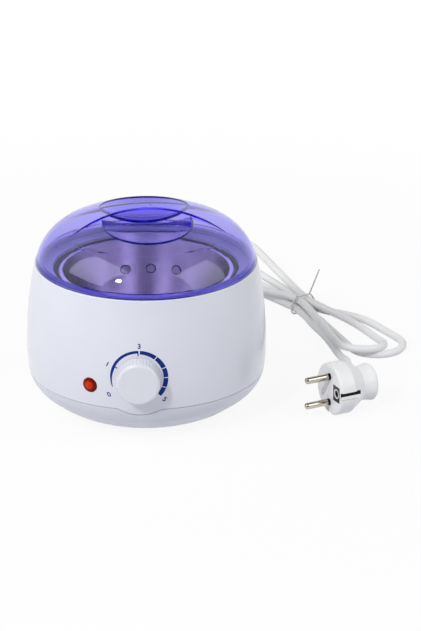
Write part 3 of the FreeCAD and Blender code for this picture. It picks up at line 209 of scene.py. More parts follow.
route = [Vector(point) for point in FEED] + hank + [Vector(point) for point in TAIL]
cord_data = bpy.data.curves.new("mains_cord", "CURVE")
cord_data.dimensions = "3D"
cord_data.bevel_depth = 1.0
cord_data.bevel_resolution = CORD_ROUNDNESS
cord_data.resolution_u = CORD_STEPS
cord_data.use_fill_caps = True
spline = cord_data.splines.new("NURBS")
spline.points.add(len(route) - 1)
for spline_point, point in zip(spline.points, route):
    spline_point.co = (point.x, point.y, point.z, 1.0)
    spline_point.radius = CORD_DIAMETER / 2.0
spline.order_u = SPLINE_ORDER
spline.use_endpoint_u = True
cord = bpy.data.objects.new("mains_cord", cord_data)
scene.collection.objects.link(cord)
print("cord: %d points, %.3f m" % (len(route), spline.calc_length()))

# %% [markdown]
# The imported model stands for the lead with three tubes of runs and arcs, which up close would look
# like bent wire. The cord takes their place, and the plug, its metal parts and the tie go with it.

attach(cord, "base")
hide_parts("cord_feed", "cord_hank", "cord_tail")

# %% [markdown]
# ## Shader maths in plain Python
# Finishes are built from nodes. Wiring them by hand hides the sums, so one small class wraps a socket
# and lets ordinary operators add the Math nodes. Any other node comes from its single method.

# %% Sockets that do sums
class Signal:
    """A shader socket that answers to Python's operators."""

    def __init__(self, tree, socket=None):
        self.tree = tree
        self.socket = socket

    def node(self, kind, settings=None, inputs=None, output=0):
        """Adds a node: its settings first, then its sockets' values or links."""
        made = self.tree.nodes.new("ShaderNode" + kind)
        for name, value in (settings or {}).items():
            setattr(made, name, value)
        for key, value in (inputs or {}).items():
            if isinstance(value, Signal):
                self.tree.links.new(value.socket, made.inputs[key])
            else:
                made.inputs[key].default_value = value
        return Signal(self.tree, made.outputs[output] if made.outputs else None)

    def sum(self, operation, first, second=0.0):
        """Adds a Math node."""
        return self.node("Math", {"operation": operation}, {0: first, 1: second})

    def __add__(self, other):
        return self.sum("ADD", self, other)

    def __radd__(self, other):
        return self.sum("ADD", other, self)

    def __sub__(self, other):
        return self.sum("SUBTRACT", self, other)

    def __rsub__(self, other):
        return self.sum("SUBTRACT", other, self)

    def __mul__(self, other):
        return self.sum("MULTIPLY", self, other)

    def __rmul__(self, other):
        return self.sum("MULTIPLY", other, self)

    def __truediv__(self, other):
        return self.sum("DIVIDE", self, other)

    def __rtruediv__(self, other):
        return self.sum("DIVIDE", other, self)

    def __pow__(self, other):
        return self.sum("POWER", self, other)

    def __abs__(self):
        return self.sum("ABSOLUTE", self)


# %% [markdown]
# A finish needs the same few steps each time: a clean material, a shader that closes it and a way to
# hand it to a piece. Naming them once keeps every finish below short.

# %% Words for finishes
def begin(name):
    """A new material and the bare signal that its nodes start from."""
    material = bpy.data.materials.new(name)
    material.use_nodes = True
    material.node_tree.nodes.clear()
    return material, Signal(material.node_tree)


def close(sheet, inputs):
    """Ends a material with one Principled shader."""
    shader = sheet.node("BsdfPrincipled", inputs=inputs)
    sheet.node("OutputMaterial", inputs={"Surface": shader})


def rgb(red, green, blue):
    """A colour as sockets take it, with full alpha."""
    return (red, green, blue, 1.0)


def paint(material, *names):
    """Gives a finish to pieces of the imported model."""
    for name in names:
        piece = nodes[name]
        piece.data.materials.clear()
        piece.data.materials.append(material)


# %% [markdown]
# Patterns need words too: where a point lies, a noise at that place and a distance. Places are read in
# the object's own coordinates, so that nothing has to be unwrapped.

# %% Words for patterns
def coordinates(sheet, kind="Object"):
    """The object's own coordinates, or another kind that Blender knows."""
    return sheet.node("TexCoord", output=kind)


def parts(vector):
    """The three numbers of a vector."""
    split = vector.node("SeparateXYZ", inputs={0: vector}).socket.node
    return [Signal(vector.tree, socket) for socket in split.outputs]


def noise(place, scale, detail):
    """A soft noise from 0 to 1."""
    return place.node("TexNoise", inputs={"Vector": place, "Scale": scale, "Detail": detail})


def distance(first, second):
    """The long side of a right angle's triangle, from its two short ones."""
    return (first * first + second * second) ** 0.5


# %% [markdown]
# The other words are choices: a smooth step and a hard one, which tell how far a value has got, and a
# colour between two others. The Mix node has sockets for every kind of data. Colours go in at 6 and 7
# and come out at 2.

# %% Words for choices
def ease(value, low, high):
    """0 below low, 1 above high and a smooth rise between them."""
    inputs = {"Value": value, "From Min": low, "From Max": high}
    return value.node("MapRange", {"interpolation_type": "SMOOTHSTEP"}, inputs)


def below(value, limit):
    """1 where a value is under its limit."""
    return value.sum("LESS_THAN", value, limit)


def mixed(factor, first, second):
    """A colour between two others."""
    inputs = {0: factor, 6: first, 7: second}
    return factor.node("Mix", {"data_type": "RGBA"}, inputs, 2)


# %% [markdown]
# ## White mouldings
# The casing, the cover under it and the knob are injection-moulded in white. Up close such a surface is
# never one white: the flow of the melt leaves faint clouds of tone and gloss, and the polish has a
# shallow orange peel. Two noises give both, one coarse and one fine.

# %% Moulded plastic
CLOUD_SCALE = 14.0
CLOUD_DETAIL = 4.0
CLOUD_EDGES = (0.35, 0.65)
PEEL_SCALE = 420.0
PEEL_DETAIL = 2.0
PEEL_HEIGHT = 0.0002
NOISE_MEAN = 0.5
GLOSS_CLOUDS = 0.12
MARK_TONE = rgb(0.018, 0.018, 0.020)


def moulded(name, pale, deep, roughness, coat=0.0, peel=0.05, shine=0.5, marks=None):
    """Plastic or rubber with clouds between two tones, and dark where marks answers 1."""
    material, sheet = begin(name)
    place = coordinates(sheet)
    cloud = noise(place, CLOUD_SCALE, CLOUD_DETAIL)
    skin = noise(place, PEEL_SCALE, PEEL_DETAIL)
    tone = mixed(ease(cloud, *CLOUD_EDGES), pale, deep)
    if marks:
        tone = mixed(marks(*parts(place)), tone, MARK_TONE)
    gloss = roughness + (cloud - NOISE_MEAN) * GLOSS_CLOUDS
    relief = sheet.node("Bump", inputs={"Strength": peel, "Distance": PEEL_HEIGHT, "Height": skin})
    inputs = {"Base Color": tone, "Roughness": gloss, "Coat Weight": coat, "Normal": relief}
    inputs["Specular IOR Level"] = shine
    close(sheet, inputs)
    return material


# %% [markdown]
# One recipe then serves all plastic and rubber, each with two tones, its own roughness and its own
# depth of peel. The casing also has a clear, polished coat.

# %% Plastic and rubber pieces
casing_white = moulded(
    "casing_white", rgb(0.80, 0.805, 0.875), rgb(0.785, 0.79, 0.86), roughness=0.24, coat=0.3
)
paint(casing_white, "casing")
cover_white = moulded("cover_white", rgb(0.77, 0.775, 0.845), rgb(0.755, 0.76, 0.83), roughness=0.30)
paint(cover_white, "bottom_cover")
sleeve_white = moulded(
    "sleeve_white", rgb(0.80, 0.80, 0.82), rgb(0.77, 0.77, 0.79), roughness=0.45, peel=0.15
)
paint(sleeve_white, "strain_relief")
control_resin = moulded(
    "control_resin", rgb(0.030, 0.026, 0.024), rgb(0.022, 0.020, 0.019), roughness=0.5
)
paint(control_resin, "control_body")
block_resin = moulded("block_resin", rgb(0.72, 0.69, 0.62), rgb(0.68, 0.65, 0.58), roughness=0.45)
paint(block_resin, "terminal_block")
foot_rubber = moulded(
    "foot_rubber", rgb(0.26, 0.26, 0.27), rgb(0.22, 0.22, 0.23), roughness=0.7, peel=0.3
)
paint(foot_rubber, "feet")
gasket_rubber = moulded(
    "gasket_rubber", rgb(0.030, 0.030, 0.034), rgb(0.022, 0.022, 0.025), roughness=0.65, peel=0.2
)
paint(gasket_rubber, "well_gasket")
cord_white = moulded(
    "cord_white", rgb(0.95, 0.945, 0.935), rgb(0.92, 0.915, 0.905), roughness=0.42, peel=0.03
)
cord.data.materials.append(cord_white)
print("casing, cover, sleeve, resin, rubber and cord finished")

# %% [markdown]
# ## Knob
# Forty shallow grooves run up the knob's side. They are real grooves in the model, and a painted shade
# darkens each of them so that they show from afar. A cosine of the angle round the shaft finds them,
# so no mask has to be painted by hand.

# %% Grooves of the knob
KNOB_HEIGHT = 0.0502
KNOB_SIDE = 0.0142
KNOB_SIDE_BLEND = 0.0003
GROOVE_COUNT = 40
GROOVE_EDGE = 0.9
# Share of the dark tone that is painted into the grooves as shade.
GROOVE_SHADE = 0.09


def knob_groove_shade(x, y, z):
    """How much painted shade darkens the grooves, none on the face."""
    rise = z - KNOB_HEIGHT
    angle = x.sum("ARCTAN2", x, rise)
    wave = x.sum("COSINE", angle * GROOVE_COUNT)
    groove = ease(0.0 - wave, 0.0, GROOVE_EDGE)
    on_side = ease(distance(x, rise), KNOB_SIDE - KNOB_SIDE_BLEND, KNOB_SIDE)
    return groove * on_side * GROOVE_SHADE


knob_white = moulded(
    "knob_white",
    rgb(0.80, 0.805, 0.865),
    rgb(0.785, 0.79, 0.85),
    roughness=0.28,
    coat=0.2,
    marks=knob_groove_shade,
)
paint(knob_white, "knob")
print("knob finished, with", GROOVE_COUNT, "grooves")

# %% [markdown]
# ## Plug
# The plug's face holds a dark insert with the pale rim of the earth socket in it. Both are flush, so
# they are painted by place instead of modelled, and the wall inside the socket gets a painted shade.
# The plug lies turned on the floor, and a few sums on the coordinates give the place along it and
# across it.

# %% Places on the plug
PLUG_X = 0.1279
PLUG_Y = -0.0203
PLUG_HEIGHT = 0.0185
PLUG_TURN = math.radians(29.5)


def along_plug(x, y):
    """The place along the plug, from its face to its cord."""
    return (x - PLUG_X) * math.cos(PLUG_TURN) + (y - PLUG_Y) * math.sin(PLUG_TURN)


def across_plug(x, y):
    """The place across the plug, from its middle."""
    return (y - PLUG_Y) * math.cos(PLUG_TURN) - (x - PLUG_X) * math.sin(PLUG_TURN)


# %% [markdown]
# Every mark is then a product of simple limits. A limit answers 1 inside and 0 outside, so the product
# is 1 only where all of them hold.

# %% Face of the plug
SOCKET_SIDE = 0.010
SOCKET_RADIUS = 0.0032
SOCKET_RIM = 0.0034
SOCKET_DEPTH = 0.014
INSERT_HALF_WIDTH = 0.0046
INSERT_HALF_HEIGHT = 0.0058
FACE_SKIN = 0.0006


def insert_and_socket_shade(x, y, z):
    """1 on the insert round the earth socket and on the painted shade inside it, not on its rim."""
    along = along_plug(x, y)
    side = across_plug(x, y) + SOCKET_SIDE
    rise = z - PLUG_HEIGHT
    from_socket = distance(side, rise)
    on_face = below(along, FACE_SKIN)
    insert = below(abs(side), INSERT_HALF_WIDTH) * below(abs(rise), INSERT_HALF_HEIGHT)
    rim = below(from_socket, SOCKET_RIM)
    # Inside the socket the white wall gets a painted shade.
    socket_shade = below(from_socket, SOCKET_RADIUS) * below(along, SOCKET_DEPTH)
    return on_face * insert * (1.0 - rim) + (1.0 - on_face) * socket_shade


plug_white = moulded(
    "plug_white",
    rgb(0.95, 0.945, 0.938),
    rgb(0.93, 0.925, 0.918),
    roughness=0.38,
    peel=0.12,
    marks=insert_and_socket_shade,
)
paint(plug_white, "plug_body")
print("plug finished")

# %% [markdown]
# ## Metal
# The pot is polished inside and left dull outside. The normals tell the two apart: inside they look
# towards the pot's axis or up, and outside they look away from it or down.

# %% Inside and outside
DOWN_SHARE = 0.5
SIDE_BLEND = 0.05


def outer_side(sheet, x, y, radius):
    """1 on faces that look away from the axis or down, 0 on those that look in or up."""
    east, north, up = parts(coordinates(sheet, "Normal"))
    outward = (x * east + y * north) / radius - up * DOWN_SHARE
    return ease(outward, -SIDE_BLEND, SIDE_BLEND)


# %% [markdown]
# The pot is spun from sheet, which leaves fine rings round its axis. They come from a noise that is
# read only by radius and height, so it repeats round the axis. Screws, pins and the well use the same
# recipe with other tones.

# %% Turned metal
RING_SCALE = 700.0
RING_HEIGHT = 0.0001
RING_GLOSS = 0.2
STAIN_SCALE = 30.0
METAL_DETAIL = 3.0


def turned_metal(name, pale, deep, roughness, relief=0.05, metal=1.0, marks=None, dull=None):
    """Metal with turned rings, dark where marks answers 1, and dull outside if dull gives two tones."""
    material, sheet = begin(name)
    place = coordinates(sheet)
    x, y, z = parts(place)
    radius = distance(x, y)
    lines = noise(sheet.node("CombineXYZ", inputs={0: radius, 2: z}), RING_SCALE, METAL_DETAIL)
    tone = mixed(noise(place, STAIN_SCALE, METAL_DETAIL), pale, deep)
    gloss = roughness + (lines - NOISE_MEAN) * roughness * RING_GLOSS
    if marks:
        tone = mixed(marks(x, y, z), tone, MARK_TONE)
    if dull:
        outer = outer_side(sheet, x, y, radius)
        tone = mixed(outer, tone, mixed(ease(lines, *CLOUD_EDGES), *dull))
        gloss = gloss + outer * roughness
    bump = sheet.node("Bump", inputs={"Strength": relief, "Distance": RING_HEIGHT, "Height": lines})
    close(sheet, {"Base Color": tone, "Metallic": metal, "Roughness": gloss, "Normal": bump})
    return material


# %% [markdown]
# The hidden metal and the tie need no marks, so two tones and a roughness say it all. The rivet heads
# are only partly metallic, because their dull, hammered skin scatters light like paint.

# %% Plain metal pieces
rivet_metal = turned_metal(
    "rivet_aluminium", rgb(0.93, 0.92, 0.91), rgb(0.90, 0.89, 0.88), roughness=0.5, metal=0.3
)
paint(rivet_metal, "pot_rivets")
well_metal = turned_metal("well_aluminium", rgb(0.62, 0.62, 0.64), rgb(0.55, 0.55, 0.57), roughness=0.35)
paint(well_metal, "heated_well", "heater_clamp")
heater_steel = turned_metal("heater_steel", rgb(0.36, 0.35, 0.33), rgb(0.28, 0.27, 0.26), roughness=0.45)
paint(heater_steel, "heater_ring")
plated_steel = turned_metal("plated_steel", rgb(0.60, 0.60, 0.61), rgb(0.52, 0.52, 0.54), roughness=0.3)
paint(plated_steel, "cover_screws", "well_screws", "heater_stud", "heater_nut")
paint(plated_steel, "control_nut", "control_shaft")
tie_wire = turned_metal("tie_wire", rgb(0.62, 0.61, 0.59), rgb(0.54, 0.53, 0.51), roughness=0.45)
paint(tie_wire, "cord_tie")
print("rivets, well, heater, screws and tie finished")

# %% [markdown]
# Three small darks make metal believable here: the thin shadow round each rivet head, the collar at the
# root of each pin, and the shaded half of the earth springs at the plug's sides. They are marks by
# place again.

# %% Marks on metal
RIVET_PLACES = (-0.018, 0.0, 0.018)
RIVET_HEIGHT = 0.0777
RIVET_RING = 0.0032
RIVET_RING_CORE = 0.0003
RIVET_RING_HALF = 0.0005
BACK_WALL_BLEND = 0.001
PIN_COLLAR = -0.0020


def rivet_rings(x, y, z):
    """1 on the thin shadow round each rivet, on the pot's back wall."""
    rings = 0.0
    for across in RIVET_PLACES:
        from_rivet = distance(x - across, z - RIVET_HEIGHT)
        rings = rings + 1.0 - ease(abs(from_rivet - RIVET_RING), RIVET_RING_CORE, RIVET_RING_HALF)
    return rings * ease(y, 0.0, BACK_WALL_BLEND)


def pin_collars(x, y, z):
    """1 on the dark collar at the root of each pin."""
    return 1.0 - below(along_plug(x, y), PIN_COLLAR)


def spring_shade(x, y, z):
    """1 on the upper half of the earth springs, which lies in the shade of the plug's body."""
    return 1.0 - below(z, PLUG_HEIGHT)


# %% [markdown]
# The pot has two more tones for its dull outside. Its rings are almost polished away, so its relief is
# faint.

# %% Pot, pins and springs
pot_metal = turned_metal(
    "pot_aluminium",
    rgb(0.93, 0.90, 0.86),
    rgb(0.90, 0.87, 0.83),
    roughness=0.20,
    relief=0.004,
    marks=rivet_rings,
    dull=(rgb(0.46, 0.46, 0.47), rgb(0.39, 0.39, 0.40)),
)
paint(pot_metal, "pot")
pin_nickel = turned_metal(
    "pin_nickel", rgb(0.58, 0.54, 0.47), rgb(0.48, 0.44, 0.38), roughness=0.10, marks=pin_collars
)
paint(pin_nickel, "plug_pins")
earth_steel = turned_metal(
    "earth_steel", rgb(0.82, 0.82, 0.82), rgb(0.76, 0.76, 0.76), roughness=0.4, marks=spring_shade
)
paint(earth_steel, "plug_earth_contacts")
print("pot, pins and springs finished")

# %% [markdown]
# ## Lid
# The lid is a clear violet shell. Its colour isn't on its surface but in its depth: where the wall is
# seen edge on, light crosses far more of it and leaves deep blue. An absorbing volume inside a clear
# skin does just that. In the sharp rims of the pockets, light is mirrored on and on inside the plastic.
# The renderer gives such a ray up after a few bounces and leaves black. A faint blue glow, met by these
# rays alone, stands for the light that would come out in the end.

# %% Clear moulding
ACRYLIC_INDEX = 1.49
HAZE_DETAIL = 3.0
HAZE_EDGES = (0.45, 0.75)
TRAPPED_AFTER = 3.5
NO_GLOW = rgb(0.0, 0.0, 0.0)
TRAPPED_GLOW = rgb(0.12, 0.08, 1.0)
TRAPPED_LEVEL = 0.09


def clear_moulding(name, skin, roughness, volume=None, density=0.0):
    """Clear plastic or glass, coloured in its depth if a volume colour is given."""
    material, sheet = begin(name)
    haze = ease(noise(coordinates(sheet), CLOUD_SCALE, HAZE_DETAIL), *HAZE_EDGES)
    gloss = roughness + haze * roughness
    inputs = {"Base Color": skin, "Roughness": gloss, "IOR": ACRYLIC_INDEX, "Transmission Weight": 1.0}
    ends = {}
    if volume:
        bounces = sheet.node("LightPath", output="Glossy Depth")
        trapped = sheet.sum("GREATER_THAN", bounces, TRAPPED_AFTER)
        inputs["Emission Color"] = mixed(trapped, NO_GLOW, TRAPPED_GLOW)
        inputs["Emission Strength"] = TRAPPED_LEVEL
        material.cycles.emission_sampling = "NONE"
        ends["Volume"] = sheet.node("VolumeAbsorption", inputs={"Color": volume, "Density": density})
    ends["Surface"] = sheet.node("BsdfPrincipled", inputs=inputs)
    sheet.node("OutputMaterial", inputs=ends)
    return material


# %% [markdown]
# The lid's skin is almost clear and very smooth. The tiny lamp behind the lens is warm glass, tinted on
# its skin alone.

# %% Lid and lamp
LID_DENSITY = 225.0

lid_violet = clear_moulding(
    "lid_violet",
    skin=rgb(0.99, 0.99, 1.0),
    roughness=0.01,
    volume=rgb(0.12, 0.0, 0.985),
    density=LID_DENSITY,
)
paint(lid_violet, "lid")
lamp_glass = clear_moulding("lamp_glass", skin=rgb(0.95, 0.80, 0.65), roughness=0.05)
paint(lamp_glass, "indicator_lamp")
print("lid and lamp finished")

# %% [markdown]
# ## Lamp lens
# The lens is small and cloudy, so a coloured skin is enough. Its inner face is moulded in facets that
# scatter the lamp's light, and they show through as patches of lighter red. Cells of a Voronoi texture
# stand for them, and the distance from the lens's middle darkens its rim, where the wall is thickest.

# %% Lens
LENS_FACETS = 900.0
FACET_EDGES = (0.1, 0.6)
FACET_PALE = rgb(0.88, 0.062, 0.003)
FACET_DEEP = rgb(0.62, 0.026, 0.002)
LENS_RIM = 0.0058
RIM_START = 0.86
RIM_TONE = rgb(0.16, 0.006, 0.002)
LENS_ROUGHNESS = 0.25
LENS_SHINE = 0.12


def lens_finish():
    """Red with lighter facets and a deep rim."""
    material, sheet = begin("lens_red")
    place = coordinates(sheet)
    low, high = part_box("indicator_lens")
    middle = (low + high) / 2.0
    offset = sheet.node("VectorMath", {"operation": "SUBTRACT"}, {0: place, 1: middle})
    from_middle = sheet.node("VectorMath", {"operation": "LENGTH"}, {0: offset}, "Value")
    facets = sheet.node("TexVoronoi", inputs={"Vector": place, "Scale": LENS_FACETS})
    tone = mixed(ease(facets, *FACET_EDGES), FACET_PALE, FACET_DEEP)
    tone = mixed(ease(from_middle, LENS_RIM * RIM_START, LENS_RIM), tone, RIM_TONE)
    close(sheet, {"Base Color": tone, "Roughness": LENS_ROUGHNESS, "Specular IOR Level": LENS_SHINE})
    return material


paint(lens_finish(), "indicator_lens")
print("lens finished")

# %% [markdown]
# ## The printed dial
# Round the knob a pad printer has laid a blue scale: a line that swells from the off place to the top,
# then five broad blocks up to full heat, with plain numbers. A printed film has hardly any thickness,
# but it does have crisp edges, so each mark is a thin patch of mesh bent to the casing's own curve.

# %% Points on the casing
DIAL_HEIGHT = 0.0508
BELLY_RADIUS = 0.0832
BELLY_HEIGHT = 0.0465
LOWER_CURVE = 0.172
UPPER_CURVE = 0.2706


def on_casing(across, height, lift):
    """A point of the casing's front, from its place across and its height, lifted off the wall."""
    curve = LOWER_CURVE if height < BELLY_HEIGHT else UPPER_CURVE
    radius = BELLY_RADIUS - curve + math.sqrt(curve ** 2 - (height - BELLY_HEIGHT) ** 2) + lift
    return (across, -math.sqrt(radius ** 2 - across ** 2), height)


def round_knob(angle, radius):
    """Across and height of a place round the knob, clockwise from the top in degrees."""
    turn = math.radians(angle)
    return (radius * math.sin(turn), DIAL_HEIGHT + radius * math.cos(turn))


# %% [markdown]
# A film has a top just above the wall, a base just under it and a rim between them. Two more faces
# close its ends, so that it is a solid, however thin.

# %% Films of ink
INK_ABOVE = 0.00006
INK_BELOW = 0.00004


def ink_patch(mesh, rows):
    """A closed film over a grid of places, each row a pair of (across, height) points."""
    top = [[mesh.verts.new(on_casing(*spot, INK_ABOVE)) for spot in row] for row in rows]
    base = [[mesh.verts.new(on_casing(*spot, -INK_BELOW)) for spot in row] for row in rows]
    for (a, b), (c, d), (e, f), (g, h) in zip(top, top[1:], base, base[1:]):
        mesh.faces.new((a, b, d, c))
        mesh.faces.new((e, g, h, f))
        mesh.faces.new((a, c, g, e))
        mesh.faces.new((b, f, h, d))
    for end_top, end_base in ((top[0], base[0]), (top[-1], base[-1])):
        mesh.faces.new((end_top[0], end_base[0], end_base[1], end_top[1]))


def show_mesh(mesh, name):
    """Turns finished marks into an object of the scene."""
    bmesh.ops.recalc_face_normals(mesh, faces=mesh.faces)
    data = bpy.data.meshes.new(name)
    mesh.to_mesh(data)
    mesh.free()
    made = bpy.data.objects.new(name, data)
    scene.collection.objects.link(made)
    return made


# %% [markdown]
# The line and the blocks are arcs of one circle round the knob, so they share one function, and only
# the width along the arc differs.

# %% Bands along the dial
DIAL_RADIUS = 0.0197
ARC_STEP = 2.0
FEWEST_STEPS = 2


def swelling(angle, start, swell, thin):
    """The share of an arc's full width: thin at its start, and 1 after a swell of so many degrees."""
    return thin + (1.0 - thin) * min(1.0, (angle - start) / swell)


def arc_mark(mesh, start, end, width, *growth):
    """A band along the dial's circle, inwards from it."""
    count = max(FEWEST_STEPS, int(abs(end - start) / ARC_STEP))
    rows = []
    for number in range(count + 1):
        angle = start + (end - start) * number / count
        inner = DIAL_RADIUS - width * swelling(angle, *growth)
        rows.append((round_knob(angle, DIAL_RADIUS), round_knob(angle, inner)))
    ink_patch(mesh, rows)


# %% [markdown]
# The line starts thin and soon has its full width. The blocks grow as well, over the first two of them.
# Short ticks point inwards at the numbers 1, 3 and 5.

# %% Dial scale
LINE_START = -112.0
LINE_END = -1.0
LINE_WIDTH = 0.0019
LINE_SWELL = 36.0
LINE_THIN = 0.25
BLOCKS = ((2.0, 37.2), (39.2, 66.0), (68.0, 88.5), (90.5, 110.3), (112.3, 132.0))
BLOCK_WIDTH = 0.0031
BLOCK_SWELL = 60.0
BLOCK_THIN = 0.78
TICKS = ((-66.0, 0.0019), (-2.0, 0.0021), (129.8, 0.0031))
TICK_LENGTH = 0.0018
TICK_OVERLAP = 0.0002
TICK_HALF_ANGLE = 1.3

ink = bmesh.new()
arc_mark(ink, LINE_START, LINE_END, LINE_WIDTH, LINE_START, LINE_SWELL, LINE_THIN)
for start, end in BLOCKS:
    arc_mark(ink, start, end, BLOCK_WIDTH, 0.0, BLOCK_SWELL, BLOCK_THIN)
for angle, depth in TICKS:
    reach = DIAL_RADIUS - depth + TICK_OVERLAP
    rows = []
    for edge in (angle - TICK_HALF_ANGLE, angle + TICK_HALF_ANGLE):
        rows.append((round_knob(edge, reach), round_knob(edge, reach - TICK_LENGTH)))
    ink_patch(ink, rows)
dial_scale = show_mesh(ink, "dial_scale")
print("dial scale:", len(dial_scale.data.polygons), "faces")

# %% [markdown]
# The numbers start as text, so that their outlines are clean. Each text is turned into a mesh and
# leaned, and every corner of it is moved onto the casing.

# %% Numbers from text
NUMBER_SIZE = 0.0048
NUMBER_FILM = 0.00005
NUMBER_WEIGHT = 0.00012


def number_mesh(text):
    """A number's outline as a flat mesh round its own middle."""
    words = bpy.data.curves.new("number", "FONT")
    words.body = text
    words.size = NUMBER_SIZE
    words.align_x = "CENTER"
    words.align_y = "CENTER"
    words.extrude = NUMBER_FILM
    words.offset = NUMBER_WEIGHT
    writer = bpy.data.objects.new("number", words)
    scene.collection.objects.link(writer)
    bpy.context.view_layer.update()
    shown = writer.evaluated_get(bpy.context.evaluated_depsgraph_get())
    made = bpy.data.meshes.new_from_object(shown)
    bpy.data.objects.remove(writer)
    bpy.data.curves.remove(words)
    return made


def lay_on_casing(made, angle, radius, lean):
    """Turns a flat number by its lean and moves every corner onto the casing."""
    across, height = round_knob(angle, radius)
    turn = math.radians(lean)
    for vertex in made.vertices:
        right = vertex.co.x * math.cos(turn) - vertex.co.y * math.sin(turn)
        up = vertex.co.x * math.sin(turn) + vertex.co.y * math.cos(turn)
        vertex.co = on_casing(across + right, height + up, vertex.co.z)


# %% [markdown]
# Four numbers go round the knob, from 0 at the off place to 5 at full heat. One mesh holds them all,
# because a pad prints them all at once.

# %% Dial numbers
# Each number has its angle round the knob, its distance from the knob's middle and its lean in degrees.
NUMBERS = (
    ("0", 237.0, 0.0245, 30.0),
    ("1", 292.0, 0.0232, -24.0),
    ("3", 0.5, 0.0226, -2.0),
    ("5", 133.0, 0.0234, -38.0),
)

numbers = bmesh.new()
for text, angle, radius, lean in NUMBERS:
    made = number_mesh(text)
    lay_on_casing(made, angle, radius, lean)
    numbers.from_mesh(made)
    bpy.data.meshes.remove(made)
dial_numbers = show_mesh(numbers, "dial_numbers")
print("numbers:", len(dial_numbers.data.polygons), "faces")

# %% [markdown]
# Ink is a plain, even blue without any peel and with little shine. The print belongs to the casing, so
# it rides on the base.

# %% Ink
dial_ink = moulded(
    "dial_ink", rgb(0.003, 0.032, 0.26), rgb(0.002, 0.026, 0.22), roughness=0.4, peel=0.0, shine=0.15
)
for piece in (dial_scale, dial_numbers):
    piece.data.materials.append(dial_ink)
    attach(piece, "base")
print("dial printed")

# %% [markdown]
# ## The floor
# A floor for a portrait is one large sheet.

# %% Floor
FLOOR_HALF = 4.0
FLOOR_CORNERS = ((-1.0, -1.0), (1.0, -1.0), (1.0, 1.0), (-1.0, 1.0))

floor_mesh = bmesh.new()
edge = [floor_mesh.verts.new((x * FLOOR_HALF, y * FLOOR_HALF, 0.0)) for x, y in FLOOR_CORNERS]
floor_mesh.faces.new(edge)
floor_data = bpy.data.meshes.new("floor")
floor_mesh.to_mesh(floor_data)
floor_mesh.free()
floor = bpy.data.objects.new("floor", floor_data)
scene.collection.objects.link(floor)
print("floor of", 2 * FLOOR_HALF, "m")

# %% [markdown]
# A white product on white is a matter of restraint: if the lamps were turned up until the floor is
# white, the casing would lose its tone. So the lamps stay low, and the floor shows a glow of its own,
# but only to rays that carry the picture: straight to the camera, or by mirrors and glass.

# %% Rays that the eye follows
EYE_RAYS = ("Is Camera Ray", "Is Glossy Ray", "Is Transmission Ray")


def seen_by_eye(sheet):
    """1 for rays that show the scene to the camera, straight or by mirrors and glass."""
    path = sheet.node("LightPath").socket.node
    straight, mirrored, through = [Signal(sheet.tree, path.outputs[name]) for name in EYE_RAYS]
    return sheet.sum("MINIMUM", straight + mirrored + through, 1.0)


# %% [markdown]
# Near the object the glow leaves room for a faint shadow. Further out it grows to a strength of 1,
# which is plain white.

# %% Glow of the floor
WHITE = rgb(1.0, 1.0, 1.0)
FLOOR_LIT = rgb(0.60, 0.61, 0.66)
FLOOR_SEEN = rgb(0.95, 0.95, 0.95)
FLOOR_ROUGHNESS = 0.7
FLOOR_GLOW = 0.9
FULL_GLOW = 1.0
GLOW_NEAR = 0.25
GLOW_FAR = 0.7

floor_white, sheet = begin("floor_white")
seen = seen_by_eye(sheet)
floor_tone = mixed(seen, FLOOR_LIT, FLOOR_SEEN)
matt = sheet.node("BsdfPrincipled", inputs={"Base Color": floor_tone, "Roughness": FLOOR_ROUGHNESS})
glow = sheet.node("Emission", inputs={"Color": WHITE, "Strength": FULL_GLOW})
from_object = sheet.node("VectorMath", {"operation": "LENGTH"}, {0: coordinates(sheet)}, "Value")
share = FLOOR_GLOW + ease(from_object, GLOW_NEAR, GLOW_FAR) * (FULL_GLOW - FLOOR_GLOW)
mix = sheet.node("MixShader", inputs={0: seen * share, 1: matt, 2: glow})
sheet.node("OutputMaterial", inputs={"Surface": mix})
floor.data.materials.append(floor_white)
print("floor glows from", GLOW_NEAR, "to", GLOW_FAR, "m")

# %% [markdown]
# ## The room
# The room gives an even light from all round. What polished metal shows is another matter: a pot in a
# white room looks like chalk, so the room that mirrors see is dark behind the camera and overhead, and
# white at the sides.

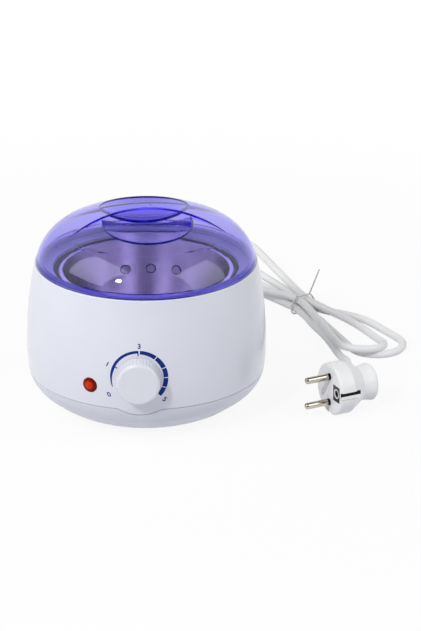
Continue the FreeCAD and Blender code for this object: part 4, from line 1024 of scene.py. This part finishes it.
# %% Room
ROOM_LIGHT = 0.29
ROOM_TINT = rgb(0.92, 0.95, 1.0)
DARK_WALL = rgb(0.05, 0.05, 0.06)
DARK_WALL_EDGES = (-0.60, -0.10)
CEILING = rgb(0.14, 0.145, 0.16)
CEILING_EDGES = (0.6, 0.9)

world = bpy.data.worlds.new("studio_room")
scene.world = world
world.use_nodes = True
world.node_tree.nodes.clear()
sheet = Signal(world.node_tree)
ahead, rise = parts(coordinates(sheet, "Generated"))[1:]
walls = mixed(ease(ahead, *DARK_WALL_EDGES), DARK_WALL, WHITE)
mirrored_room = mixed(ease(rise, *CEILING_EDGES), walls, CEILING)
seen = seen_by_eye(sheet)
room = mixed(seen, ROOM_TINT, mirrored_room)
strength = ROOM_LIGHT + seen * (1.0 - ROOM_LIGHT)
background = sheet.node("Background", inputs={"Color": room, "Strength": strength})
sheet.node("OutputWorld", inputs={"Surface": background})
print("room light", ROOM_LIGHT)

# %% [markdown]
# ## The lamps
# Two broad lamps model the round casing, a stronger one from the left and a weaker one from the right.
# A small one near the camera draws the crisp shadow under the knob and puts a glint on the lid.

# %% Lamps
LAMP_AIM = Vector((0.0, 0.0, 0.08))

# Each lamp has a name, a place, a size in metres and a power in watts.
LAMPS = (
    ("broad_lamp", (-1.55, -0.67, 1.7), 1.9, 25.0),
    ("fill_lamp", (1.9, -0.6, 1.3), 1.8, 18.0),
    ("front_lamp", (-1.05, -1.9, 1.75), 0.24, 24.0),
)

for name, place, size, power in LAMPS:
    lamp_data = bpy.data.lights.new(name, "AREA")
    lamp_data.shape = "SQUARE"
    lamp_data.size = size
    lamp_data.energy = power
    lamp = bpy.data.objects.new(name, lamp_data)
    lamp.location = place
    lamp.rotation_euler = (LAMP_AIM - lamp.location).to_track_quat("-Z", "Y").to_euler()
    scene.collection.objects.link(lamp)
scene.view_settings.view_transform = "Standard"
print("stage set with", len(LAMPS), "lamps")

# %% [markdown]
# ## Finish
# The dressed model has to stay inside the box of the imported one. Blender boxes a curve by its control
# points, which lie outside its bends, so a box of the dressed model comes out about a millimetre larger
# than what shows.

# %% Finish
bpy.context.view_layer.update()
